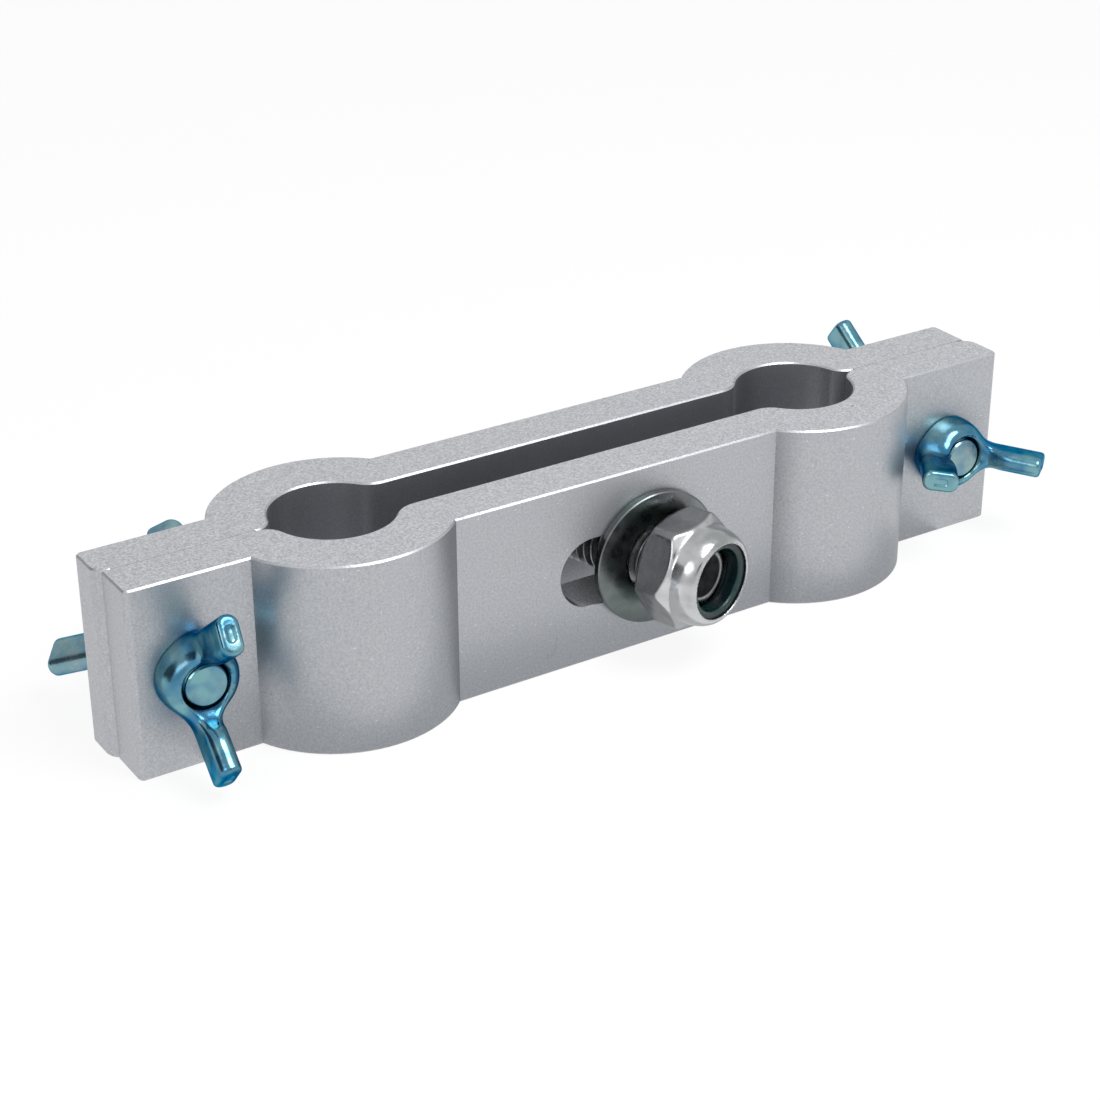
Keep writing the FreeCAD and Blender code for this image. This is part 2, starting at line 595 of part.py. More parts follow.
outline(cavity, [
    ("0", "Sizes.past"),
    (bore + " + Sizes.nut_sink", "Sizes.past"),
    (bore + " + Sizes.nut_sink", "0"),
    (bore, "-Sizes.nut_sink"),
    (bore, "-Sizes.ring_seat"),
    ("Sizes.ring_radius + Sizes.ring_fit", "-Sizes.ring_seat"),
    ("Sizes.ring_radius + Sizes.ring_fit", "-Sizes.nut_height + Sizes.lip_thick"),
    ("Sizes.lip_inner", "-Sizes.nut_height + Sizes.lip_thick"),
    ("Sizes.lip_inner", "-Sizes.nut_height - Sizes.past"),
    ("0", "-Sizes.nut_height - Sizes.past"),
])
hollow = turned(lock_nut, "Groove", "nut_cavity", cavity)
must_cut(domed, hollow, "nut cavity")

lock_ring = doc.addObject("PartDesign::Body", "lock_ring")
lock_ring.Label = "lock_ring"
ring = new_sketch(lock_ring, "ring_profile", "XY_Plane")
ring_top = "-Sizes.nut_height + Sizes.lip_thick + Sizes.ring_fit"
outline(ring, [
    ("Sizes.ring_hole", "-Sizes.ring_seat"),
    ("Sizes.ring_radius", "-Sizes.ring_seat"),
    ("Sizes.ring_radius", ring_top),
    ("Sizes.ring_hole + Sizes.ring_bevel", ring_top),
    ("Sizes.ring_hole", ring_top + " + Sizes.ring_bevel"),
])
turned(lock_ring, "Revolution", "ring_body", ring)

centre_washer = doc.addObject("PartDesign::Body", "centre_washer")
centre_washer.Label = "centre_washer"
disc = new_sketch(centre_washer, "washer_profile", "XY_Plane")
outline(disc, [
    ("Sizes.washer_hole", "0"),
    ("Sizes.washer_radius - Sizes.washer_edge", "0"),
    ("Sizes.washer_radius", "-Sizes.washer_edge"),
    ("Sizes.washer_radius", "-Sizes.washer_thick + Sizes.washer_edge"),
    ("Sizes.washer_radius - Sizes.washer_edge", "-Sizes.washer_thick"),
    ("Sizes.washer_hole", "-Sizes.washer_thick"),
])
turned(centre_washer, "Revolution", "washer_body", disc)

# The bolt leans about the upright axis. Its head rests on the back plate with one edge, the nut on
# the washer with one edge, and the washer lies flat on the front plate round the bolt.
lift = "Sizes.face_radius * sin(Sizes.bolt_lean) + Sizes.seat_slack"
head_y = "Sizes.plate_out + " + lift
nut_y = "-(Sizes.plate_out + Sizes.washer_thick + " + lift + ")"
axis_x = "Sizes.half_spacing + Sizes.bolt_place - ({} + Sizes.plate_out) * tan(Sizes.bolt_lean)"
washer_y = "-Sizes.plate_out"
for body, y, leans in ((centre_bolt, head_y, True), (lock_nut, nut_y, True), (lock_ring, nut_y, True),
                       (centre_washer, washer_y, False)):
    at = y if leans else "-Sizes.plate_out - Sizes.washer_thick / 2"
    x = axis_x.format(at)
    spin = number("Sizes.bolt_lean") if leans else 0
    body.Placement = FreeCAD.Placement(
        FreeCAD.Vector(number(x), number(y), 0),
        FreeCAD.Rotation(FreeCAD.Vector(0, 0, 1), spin))
    body.setExpression("Placement.Base.x", x)
    body.setExpression("Placement.Base.y", y)
    if leans:
        body.setExpression("Placement.Rotation.Angle", "Sizes.bolt_lean * 1 deg")

doc.recompute()

# Every object is checked, then each piece is written out
for item in doc.Objects:
    if "Invalid" in item.State or "Error" in item.State:
        raise RuntimeError(item.Name + " failed: " + str(item.State))
for body in [item for item in doc.Objects if item.TypeId == "PartDesign::Body"]:
    shape = body.Shape
    if shape.isNull() or not shape.isValid() or len(shape.Solids) != 1:
        raise RuntimeError(body.Label + " is not one valid solid")
    shape.exportStep(os.path.join("parts", body.Label + ".step"))
    print(body.Label, round(shape.Volume, 1), [round(v, 2) for v in (
        shape.BoundBox.XMin, shape.BoundBox.XMax, shape.BoundBox.YMin, shape.BoundBox.YMax,
        shape.BoundBox.ZMin, shape.BoundBox.ZMax)])
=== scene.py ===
import bmesh
import bpy
import math
import numpy as np
from mathutils import Matrix, Vector


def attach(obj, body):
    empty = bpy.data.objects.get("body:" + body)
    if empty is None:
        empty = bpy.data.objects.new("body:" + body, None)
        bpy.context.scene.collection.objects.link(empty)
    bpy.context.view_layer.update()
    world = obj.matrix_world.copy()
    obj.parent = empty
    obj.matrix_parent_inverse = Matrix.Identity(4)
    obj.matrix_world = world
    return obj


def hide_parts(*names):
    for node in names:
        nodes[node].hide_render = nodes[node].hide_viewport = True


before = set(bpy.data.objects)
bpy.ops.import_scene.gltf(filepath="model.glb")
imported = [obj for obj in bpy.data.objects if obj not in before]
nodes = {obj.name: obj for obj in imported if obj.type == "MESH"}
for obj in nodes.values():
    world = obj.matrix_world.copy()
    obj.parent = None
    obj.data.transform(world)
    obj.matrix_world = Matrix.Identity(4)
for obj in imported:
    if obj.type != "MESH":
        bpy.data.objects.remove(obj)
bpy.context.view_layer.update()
scene = bpy.context.scene
scene.view_settings.view_transform = "Standard"
mm = 0.001
print("clamp frame loaded, nodes:", len(nodes))

# Camera and studio: origin on the left tube axis at half height, metres

cameraSet = {
    "place": (-0.16503, -0.32596, 0.19377),
    "azimuth": -32.56,  # degrees
    "elevation": 26.85,
    "roll": -0.24,
    "lens": 79.13,
    "sensor": 36.0,
}

studioSet = {
    "floorHeight": -0.0175,
    "floorSize": 14.0,
    "floorColour": (0.82, 0.82, 0.82, 1),
    "floorShown": 0.88,  # light that the camera and gloss see on the floor with no lamp
    "floorLit": 0.14,  # share of the lamps' light that they see besides
    "worldLit": 0.65,  # world as matt surfaces see it
    "lamps": [
        # name, direction from the clamp, distance, size, power
        ("lampEdges", (0.193, -0.474, 0.859), 0.50, 0.26, 1.3),
        ("lampLeft", (-0.75, -0.35, 0.55), 1.10, 0.50, 1.4),
    ],
    "cards": [
        # name, direction, distance, width, height
        ("cardLeftBack", (-0.92, 0.38, 0.30), 0.75, 0.80, 0.50),
        ("cardFront", (-0.10, -0.90, 0.35), 1.20, 0.50, 0.30),
    ],
    "cardColour": (0.10, 0.11, 0.12, 1),
    # painted shade: a grey card that lies under the clamp, seen only by gloss, stands in for the
    # shadow of its foot in bright metal: x, y and height
    "footShadowCard": ((-0.030, 0.128), (-0.030, 0.012), -0.0172),
    "footShadowCardColour": (0.60, 0.61, 0.62, 1),
    "middle": (0.0486, 0.0, 0.0),
}


def makeCamera():
    a = math.radians(cameraSet["azimuth"])
    e = math.radians(cameraSet["elevation"])
    ahead = Vector((-math.sin(a) * math.cos(e), math.cos(a) * math.cos(e), -math.sin(e)))
    right = ahead.cross(Vector((0, 0, 1))).normalized()
    up = right.cross(ahead)
    roll = math.radians(cameraSet["roll"])
    tiltedRight = right * math.cos(roll) + up * math.sin(roll)
    tiltedUp = up * math.cos(roll) - right * math.sin(roll)
    data = bpy.data.cameras.new("camera")
    data.lens = cameraSet["lens"]
    data.sensor_width = cameraSet["sensor"]
    data.clip_start = 0.01
    data.clip_end = 30
    camera = bpy.data.objects.new("camera", data)
    turn = Matrix((tiltedRight, tiltedUp, -ahead)).transposed().to_4x4()
    camera.matrix_world = Matrix.Translation(cameraSet["place"]) @ turn
    scene.collection.objects.link(camera)
    scene.camera = camera


def wire(tree, pairs):
    for source, target in pairs:
        tree.links.new(source, target)


def seenByGloss(tree):
    # 1 where the camera or a glossy or transmitted ray looks, else 0
    rays = tree.nodes.new("ShaderNodeLightPath")
    first = tree.nodes.new("ShaderNodeMath")
    first.operation = "MAXIMUM"
    second = tree.nodes.new("ShaderNodeMath")
    second.operation = "MAXIMUM"
    wire(tree, [
        (rays.outputs["Is Camera Ray"], first.inputs[0]),
        (rays.outputs["Is Glossy Ray"], first.inputs[1]),
        (first.outputs[0], second.inputs[0]),
        (rays.outputs["Is Transmission Ray"], second.inputs[1]),
    ])
    return second.outputs[0]


def makeFloor():
    s = studioSet
    half = s["floorSize"] / 2
    mesh = bpy.data.meshes.new("floor")
    corners = [(-half, -half), (half, -half), (half, half), (-half, half)]
    mesh.from_pydata([(x, y, s["floorHeight"]) for x, y in corners], [], [(0, 1, 2, 3)])
    floor = bpy.data.objects.new("floor", mesh)
    scene.collection.objects.link(floor)
    material = bpy.data.materials.new("paleFloor")
    material.use_nodes = True
    tree = material.node_tree
    tree.nodes.clear()
    output = tree.nodes.new("ShaderNodeOutputMaterial")
    plain = tree.nodes.new("ShaderNodeBsdfDiffuse")
    plain.inputs["Color"].default_value = s["floorColour"]
    shown = tree.nodes.new("ShaderNodeBsdfDiffuse")
    shown.inputs["Color"].default_value = (s["floorLit"],) * 3 + (1,)
    glow = tree.nodes.new("ShaderNodeEmission")
    glow.inputs["Strength"].default_value = s["floorShown"]
    both = tree.nodes.new("ShaderNodeAddShader")
    choose = tree.nodes.new("ShaderNodeMixShader")
    wire(tree, [
        (shown.outputs[0], both.inputs[0]),
        (glow.outputs[0], both.inputs[1]),
        (seenByGloss(tree), choose.inputs[0]),
        (plain.outputs[0], choose.inputs[1]),
        (both.outputs[0], choose.inputs[2]),
        (choose.outputs[0], output.inputs["Surface"]),
    ])
    mesh.materials.append(material)


def makeWorld():
    world = bpy.data.worlds.new("studioWorld")
    scene.world = world
    world.use_nodes = True
    tree = world.node_tree
    tree.nodes.clear()
    output = tree.nodes.new("ShaderNodeOutputWorld")
    shade = tree.nodes.new("ShaderNodeBackground")
    strength = tree.nodes.new("ShaderNodeMapRange")
    strength.inputs["To Min"].default_value = studioSet["worldLit"]
    strength.inputs["To Max"].default_value = 1.0
    wire(tree, [
        (seenByGloss(tree), strength.inputs["Value"]),
        (strength.outputs["Result"], shade.inputs["Strength"]),
        (shade.outputs[0], output.inputs["Surface"]),
    ])


def facing(direction, distance):
    # place and turn of something that looks back at the middle of the clamp
    away = Vector(direction).normalized()
    place = Vector(studioSet["middle"]) + away * distance
    return Matrix.Translation(place) @ away.to_track_quat("Z", "Y").to_matrix().to_4x4()


def makeLamps():
    for name, direction, distance, size, power in studioSet["lamps"]:
        data = bpy.data.lights.new(name, "AREA")
        data.shape = "DISK"
        data.size = size
        data.energy = power
        lamp = bpy.data.objects.new(name, data)
        lamp.matrix_world = facing(direction, distance)
        scene.collection.objects.link(lamp)


def plainGlow(name, colour):
    material = bpy.data.materials.new(name)
    material.use_nodes = True
    tree = material.node_tree
    tree.nodes.clear()
    output = tree.nodes.new("ShaderNodeOutputMaterial")
    shade = tree.nodes.new("ShaderNodeEmission")
    shade.inputs["Color"].default_value = colour
    tree.links.new(shade.outputs[0], output.inputs["Surface"])
    return material


def glossCard(name, corners, material, place=Matrix.Identity(4)):
    # a card that only gloss sees
    mesh = bpy.data.meshes.new(name)
    mesh.from_pydata(corners, [], [(0, 1, 2, 3)])
    mesh.transform(place)
    mesh.materials.append(material)
    card = bpy.data.objects.new(name, mesh)
    scene.collection.objects.link(card)
    card.visible_camera = False
    card.visible_diffuse = False
    card.visible_shadow = False


def makeCards():
    # dark studio cards give bright metal its contrast
    s = studioSet
    dark = plainGlow("darkCard", s["cardColour"])
    for name, direction, distance, width, height in s["cards"]:
        w, h = width / 2, height / 2
        corners = [(-w, -h, 0), (w, -h, 0), (w, h, 0), (-w, h, 0)]
        glossCard(name, corners, dark, facing(direction, distance))
    # painted shade: the card under the clamp stands in for its shadow in reflections
    (left, right), (front, back), height = s["footShadowCard"]
    corners = [(left, front, height), (right, front, height),
               (right, back, height), (left, back, height)]
    glossCard("footShadowCard", corners, plainGlow("lowCardShade", s["footShadowCardColour"]))


makeCamera()
makeFloor()
makeWorld()
makeLamps()
makeCards()
print("camera, floor, lamps and cards made")


# Shared shader node groups

def newGroup(name, inputs, outputs):
    group = bpy.data.node_groups.new(name, "ShaderNodeTree")
    for label, kind, value in inputs:
        socket = group.interface.new_socket(label, in_out="INPUT", socket_type=kind)
        if value is not None:
            socket.default_value = value
    for label, kind in outputs:
        group.interface.new_socket(label, in_out="OUTPUT", socket_type=kind)
    return group, group.nodes.new("NodeGroupInput"), group.nodes.new("NodeGroupOutput")


def mathNode(tree, operation, first, second=None):
    node = tree.nodes.new("ShaderNodeMath")
    node.operation = operation
    for socket, value in zip(node.inputs, (first, second)):
        if value is None:
            continue
        if isinstance(value, (int, float)):
            socket.default_value = value
        else:
            tree.links.new(value, socket)
    return node.outputs[0]


def mapped(tree, value, low, high, newLow, newHigh):
    node = tree.nodes.new("ShaderNodeMapRange")
    tree.links.new(value, node.inputs["Value"])
    limits = (("From Min", low), ("From Max", high), ("To Min", newLow), ("To Max", newHigh))
    for label, number in limits:
        if isinstance(number, (int, float)):
            node.inputs[label].default_value = number
        else:
            tree.links.new(number, node.inputs[label])
    return node.outputs["Result"]


def noiseNode(tree, vector, scale, detail, rough=0.5):
    node = tree.nodes.new("ShaderNodeTexNoise")
    node.inputs["Detail"].default_value = detail
    node.inputs["Roughness"].default_value = rough
    tree.links.new(vector, node.inputs["Vector"])
    if isinstance(scale, (int, float)):
        node.inputs["Scale"].default_value = scale
    else:
        tree.links.new(scale, node.inputs["Scale"])
    return node.outputs["Fac"]


def buildGrain():
    # blasted or cast grain: height, a light and dark mask, and sparse bright flecks
    group, source, target = newGroup("metalGrain", [
        ("Vector", "NodeSocketVector", None),
        ("Grain Scale", "NodeSocketFloat", 2600.0),
        ("Cloud Scale", "NodeSocketFloat", 45.0),
        ("Fleck Share", "NodeSocketFloat", 0.06),
    ], [
        ("Height", "NodeSocketFloat"),
        ("Mask", "NodeSocketFloat"),
        ("Clouds", "NodeSocketFloat"),
        ("Flecks", "NodeSocketFloat"),
    ])
    vector, scale = source.outputs["Vector"], source.outputs["Grain Scale"]
    fine = noiseNode(group, vector, scale, 2.5, 0.65)
    clouds = noiseNode(group, vector, source.outputs["Cloud Scale"], 3.0, 0.55)
    cells = group.nodes.new("ShaderNodeTexVoronoi")
    wire(group, [(vector, cells.inputs["Vector"]), (scale, cells.inputs["Scale"])])
    split = group.nodes.new("ShaderNodeSeparateColor")
    group.links.new(cells.outputs["Color"], split.inputs[0])
    picked = mathNode(group, "LESS_THAN", split.outputs[0], source.outputs["Fleck Share"])
    near = mathNode(group, "LESS_THAN", cells.outputs["Distance"], 0.42)
    wire(group, [
        (mathNode(group, "ADD", fine, mathNode(group, "MULTIPLY", cells.outputs["Distance"], 0.35)),
         target.inputs["Height"]),
        (mapped(group, fine, 0.30, 0.70, 0.0, 1.0), target.inputs["Mask"]),
        (mapped(group, clouds, 0.30, 0.70, 0.0, 1.0), target.inputs["Clouds"]),
        (mathNode(group, "MULTIPLY", picked, near), target.inputs["Flecks"]),
    ])
    return group


def buildMarks():
    # small pits and hairline scratches, sparse and fixed by place
    group, source, target = newGroup("handlingMarks", [
        ("Vector", "NodeSocketVector", None),
        ("Pit Scale", "NodeSocketFloat", 130.0),
        ("Pit Share", "NodeSocketFloat", 0.10),
        ("Scratch Scale", "NodeSocketFloat", 60.0),
    ], [
        ("Pits", "NodeSocketFloat"),
        ("Scratches", "NodeSocketFloat"),
    ])
    vector = source.outputs["Vector"]
    cells = group.nodes.new("ShaderNodeTexVoronoi")
    wire(group, [
        (vector, cells.inputs["Vector"]),
        (source.outputs["Pit Scale"], cells.inputs["Scale"]),
    ])
    split = group.nodes.new("ShaderNodeSeparateColor")
    group.links.new(cells.outputs["Color"], split.inputs[0])
    picked = mathNode(group, "LESS_THAN", split.outputs[0], source.outputs["Pit Share"])
    size = mapped(group, split.outputs[1], 0.0, 1.0, 0.012, 0.045)
    pit = mathNode(group, "LESS_THAN", cells.outputs["Distance"], size)
    # a scratch is where a stretched noise crosses its middle value, within a patch
    stretch = group.nodes.new("ShaderNodeMapping")
    stretch.inputs["Rotation"].default_value = (0.5, 0.9, 0.3)
    stretch.inputs["Scale"].default_value = (1.0, 0.22, 0.6)
    group.links.new(vector, stretch.inputs["Vector"])
    lines = noiseNode(group, stretch.outputs[0], source.outputs["Scratch Scale"], 0.0)
    offMiddle = mathNode(group, "ABSOLUTE", mathNode(group, "SUBTRACT", lines, 0.5))
    line = mathNode(group, "LESS_THAN", offMiddle, 0.0022)
    patch = mathNode(group, "GREATER_THAN", noiseNode(group, vector, 70.0, 0.0), 0.68)
    wire(group, [
        (mathNode(group, "MULTIPLY", picked, pit), target.inputs["Pits"]),
        (mathNode(group, "MULTIPLY", line, patch), target.inputs["Scratches"]),
    ])
    return group


grainGroup = buildGrain()
marksGroup = buildMarks()
print("shader groups made")


# Materials

def newMaterial(name):
    material = bpy.data.materials.new(name)
    material.use_nodes = True
    tree = material.node_tree
    shader = tree.nodes["Principled BSDF"]
    place = tree.nodes.new("ShaderNodeTexCoord")
    return material, tree, shader, place.outputs["Object"]


def useGroup(tree, group, vector, values):
    node = tree.nodes.new("ShaderNodeGroup")
    node.node_tree = group
    tree.links.new(vector, node.inputs["Vector"])
    for label, value in values.items():
        node.inputs[label].default_value = value
    return node.outputs


def mixColour(tree, factor, first, second):
    node = tree.nodes.new("ShaderNodeMix")
    node.data_type = "RGBA"
    sockets = ((node.inputs[0], factor), (node.inputs[6], first), (node.inputs[7], second))
    for socket, value in sockets:
        if isinstance(value, (int, float)):
            socket.default_value = value
        elif isinstance(value, tuple):
            socket.default_value = value + (1,)
        else:
            tree.links.new(value, socket)
    return node.outputs[2]


def bumpNode(tree, height, strength, distance, after=None):
    node = tree.nodes.new("ShaderNodeBump")
    node.inputs["Strength"].default_value = strength
    node.inputs["Distance"].default_value = distance
    tree.links.new(height, node.inputs["Height"])
    if after is not None:
        tree.links.new(after, node.inputs["Normal"])
    return node.outputs[0]


aluminiumSet = {
    "dark": (0.40, 0.412, 0.436),
    "light": (0.53, 0.542, 0.566),
    "sawnDark": (0.415, 0.425, 0.445),
    "sawnLight": (0.715, 0.73, 0.76),
    "fleck": (0.80, 0.81, 0.82),
    "pit": (0.16, 0.165, 0.175),
    "roughLow": 0.36,
    "roughHigh": 0.47,
    "grainScale": 2600.0,
    "grainHeight": 0.000035,
    "sawnFleck": 0.10,
    "wallFleck": 0.005,
    "slotReach": (0.0135, 0.0145, 0.0066),  # half sizes of the region round the slots
    "slotShade": 0.62,
    "innerReach": (0.0598, 0.0112, 0.03),  # and of the region round the tube seats and the gap
    "innerShade": 0.04,
    "corner": (0.03328, 0.01465),  # where a tube seat's outside meets the plate
    "cornerReach": 0.0052,
    "cornerShade": 0.36,
    # dark colour of the painted shade in the slots and round the gap, and of the seam
    "seamAndShadeDark": (0.06, 0.063, 0.07),
    "marks": {"Pit Scale": 110.0, "Pit Share": 0.07, "Scratch Scale": 55.0},
    "seamWidth": 0.00016,
    "seamShade": 0.4,
    "sawnRough": 0.22,  # added to the roughness of the sawn faces
    "cloud": (0.36, 0.37, 0.395),
    "cloudShare": 0.10,
    "fleckShare": 0.5,
    "pitShare": 0.75,
    "scratchShare": 0.12,
    # colour of the painted shade in those corners
    "cornerShadeDark": (0.10, 0.105, 0.115),
    "sawnSlope": 0.9,  # least upright share of a sawn face's normal
    "flatSlope": 0.97,  # and of a plate's or tab's normal along Y
    "pitDepth": 1.5,
    "bump": 0.55,
}


def makeAluminium():
    s = aluminiumSet
    material, tree, shader, place = newMaterial("blastedAluminium")
    grain = useGroup(tree, grainGroup, place, {"Grain Scale": s["grainScale"], "Cloud Scale": 38.0})
    marks = useGroup(tree, marksGroup, place, s["marks"])
    # the sawn faces, which look up and down, sparkle more than the blasted walls
    geometry = tree.nodes.new("ShaderNodeTexCoord")
    parts = tree.nodes.new("ShaderNodeSeparateXYZ")
    tree.links.new(geometry.outputs["Normal"], parts.inputs[0])
    upright = mathNode(tree, "ABSOLUTE", parts.outputs["Z"])
    sawn = mathNode(tree, "GREATER_THAN", upright, s["sawnSlope"])
    share = mapped(tree, sawn, 0.0, 1.0, s["wallFleck"], s["sawnFleck"])
    for node in tree.nodes:
        if node.type == "GROUP" and node.node_tree == grainGroup:
            tree.links.new(share, node.inputs["Fleck Share"])
    base = mixColour(tree, grain["Mask"], s["dark"], s["light"])
    cloudy = mathNode(tree, "MULTIPLY", grain["Clouds"], s["cloudShare"])
    base = mixColour(tree, cloudy, base, s["cloud"])
    sawnTone = mixColour(tree, grain["Mask"], s["sawnDark"], s["sawnLight"])
    base = mixColour(tree, sawn, base, sawnTone)
    for worn, part, tone in ((grain["Flecks"], s["fleckShare"], s["fleck"]),
                             (marks["Pits"], s["pitShare"], s["pit"]),
                             (marks["Scratches"], s["scratchShare"], s["pit"])):
        base = mixColour(tree, mathNode(tree, "MULTIPLY", worn, part), base, tone)
    # painted shade: the walls of the slots, and less so of the tube seats and the gap, are darkened
    # as the shade that falls inside them
    spot = tree.nodes.new("ShaderNodeSeparateXYZ")
    tree.links.new(place, spot.inputs[0])
    across = mathNode(tree, "SUBTRACT", spot.outputs["X"], studioSet["middle"][0])
    ahead = mathNode(tree, "ABSOLUTE", parts.outputs["Y"])
    flat = mathNode(tree, "GREATER_THAN", ahead, s["flatSlope"])
    bare = mathNode(tree, "SUBTRACT", 1.0, mathNode(tree, "MAXIMUM", flat, sawn))
    wall = mathNode(tree, "SUBTRACT", 1.0, sawn)
    for reach, shade, inside in ((s["slotReach"], s["slotShade"], bare),
                                 (s["innerReach"], s["innerShade"], wall)):
        for value, limit in zip((across, spot.outputs["Y"], spot.outputs["Z"]), reach):
            within = mathNode(tree, "LESS_THAN", mathNode(tree, "ABSOLUTE", value), limit)
            inside = mathNode(tree, "MULTIPLY", inside, within)
        base = mixColour(tree, mathNode(tree, "MULTIPLY", inside, shade), base, s["seamAndShadeDark"])
    # painted shade: darker on the seat's side of the corners where a tube seat's outside meets the
    # plate
    gaps = [mathNode(tree, "SUBTRACT", mathNode(tree, "ABSOLUTE", value), limit)
            for value, limit in zip((across, spot.outputs["Y"]), s["corner"])]
    squares = [mathNode(tree, "MULTIPLY", gap, gap) for gap in gaps]
    away = mathNode(tree, "SQRT", mathNode(tree, "ADD", *squares))
    near = mapped(tree, away, 0.0, s["cornerReach"], s["cornerShade"], 0.0)
    base = mixColour(tree, mathNode(tree, "MULTIPLY", bare, near), base, s["cornerShadeDark"])
    # the seam between the halves shows on the sawn faces
    offSeam = mathNode(tree, "ABSOLUTE", spot.outputs["Y"])
    seam = mathNode(tree, "LESS_THAN", offSeam, s["seamWidth"] / 2)
    seam = mathNode(tree, "MULTIPLY", seam, sawn)
    base = mixColour(tree, mathNode(tree, "MULTIPLY", seam, s["seamShade"]), base, s["seamAndShadeDark"])
    pits = mathNode(tree, "MULTIPLY", marks["Pits"], s["pitDepth"])
    height = mathNode(tree, "SUBTRACT", grain["Height"], pits)
    rough = mapped(tree, grain["Mask"], 0.0, 1.0, s["roughHigh"], s["roughLow"])
    rough = mathNode(tree, "ADD", rough, mathNode(tree, "MULTIPLY", sawn, s["sawnRough"]))
    wire(tree, [
        (base, shader.inputs["Base Color"]),
        (rough, shader.inputs["Roughness"]),
        (bumpNode(tree, height, s["bump"], s["grainHeight"]), shader.inputs["Normal"]),
    ])
    shader.inputs["Metallic"].default_value = 1.0
    return material


blueSet = {
    "teal": (0.19, 0.39, 0.43),
    "blue": (0.07, 0.22, 0.34),
    "pale": (0.36, 0.44, 0.43),
    "groove": (0.015, 0.05, 0.08),
    "paintedFilletShade": (0.04, 0.20, 0.38),
    "rimTint": (0.12, 0.35, 0.60, 1),  # what a turned-away surface reflects, as thin passivate does
    "roughLow": 0.12,
    "roughHigh": 0.30,
    "grain": {"Grain Scale": 1500.0, "Cloud Scale": 260.0, "Fleck Share": 0.01},
    "marks": {"Pit Scale": 420.0, "Pit Share": 0.10, "Scratch Scale": 240.0},
    "patches": (190.0, 2.0, 0.6),  # scale, detail and roughness of the colour patches
    "filletShadeShare": 0.75,
    "pitShare": 0.8,
    "softBump": (0.30, 0.00012),
    "fineBump": (0.25, 0.00003),
}


def makeBlueZinc(name, greyShare):
    s = blueSet
    material, tree, shader, place = newMaterial(name)
    grain = useGroup(tree, grainGroup, place, s["grain"])
    marks = useGroup(tree, marksGroup, place, s["marks"])
    patches = noiseNode(tree, place, *s["patches"])
    base = mixColour(tree, mapped(tree, patches, 0.38, 0.62, 0.0, 1.0), s["blue"], s["teal"])
    worn = mapped(tree, grain["Clouds"], 0.45, 1.0, greyShare * 0.5, 0.25 + greyShare)
    base = mixColour(tree, worn, base, s["pale"])
    # painted shade: darker blue in the fillets where a wing meets the hub
    filletShade = tree.nodes.new("ShaderNodeAttribute")
    filletShade.attribute_name = "filletShade"
    paintedFilletShade = mathNode(tree, "MULTIPLY", filletShade.outputs["Fac"], s["filletShadeShare"])
    base = mixColour(tree, paintedFilletShade, base, s["paintedFilletShade"])
    pitted = mathNode(tree, "MULTIPLY", marks["Pits"], s["pitShare"])
    base = mixColour(tree, pitted, base, s["groove"])
    height = mathNode(tree, "SUBTRACT", grain["Height"], marks["Pits"])
    soft = bumpNode(tree, grain["Clouds"], *s["softBump"])
    roughLow = s["roughLow"] + greyShare * 0.15
    wire(tree, [
        (base, shader.inputs["Base Color"]),
        (mapped(tree, grain["Clouds"], 0.0, 1.0, roughLow, s["roughHigh"]),
         shader.inputs["Roughness"]),
        (bumpNode(tree, height, *s["fineBump"], soft), shader.inputs["Normal"]),
    ])
    shader.inputs["Metallic"].default_value = 1.0
    shader.inputs["Specular Tint"].default_value = s["rimTint"]
    return material


steelSet = {
    "darker": 0.55,  # share of the light tone that is left in the dark patches
    "green": (0.16, 0.24, 0.22),
    "roughLow": 0.10,
    "roughHigh": 0.30,
    "grain": {"Grain Scale": 1800.0, "Cloud Scale": 330.0, "Fleck Share": 0.02},
    "marks": {"Pit Scale": 330.0, "Pit Share": 0.16, "Scratch Scale": 130.0},
    "patches": (150.0, 3.0, 0.6),  # scale, detail and roughness of the dark patches
    "tint": (95.0, 1.0),
    "dents": (420.0, 1.5),
    "worn": (0.05, 0.055, 0.06),
    "wornShare": 0.8,
    "wornDepth": 1.2,
    "paintedShade": (0.05, 0.052, 0.058),
    "deepestShade": (0.004, 0.006, 0.007),
    "softBump": 0.35,
    "fineBump": (0.30, 0.00002),
}


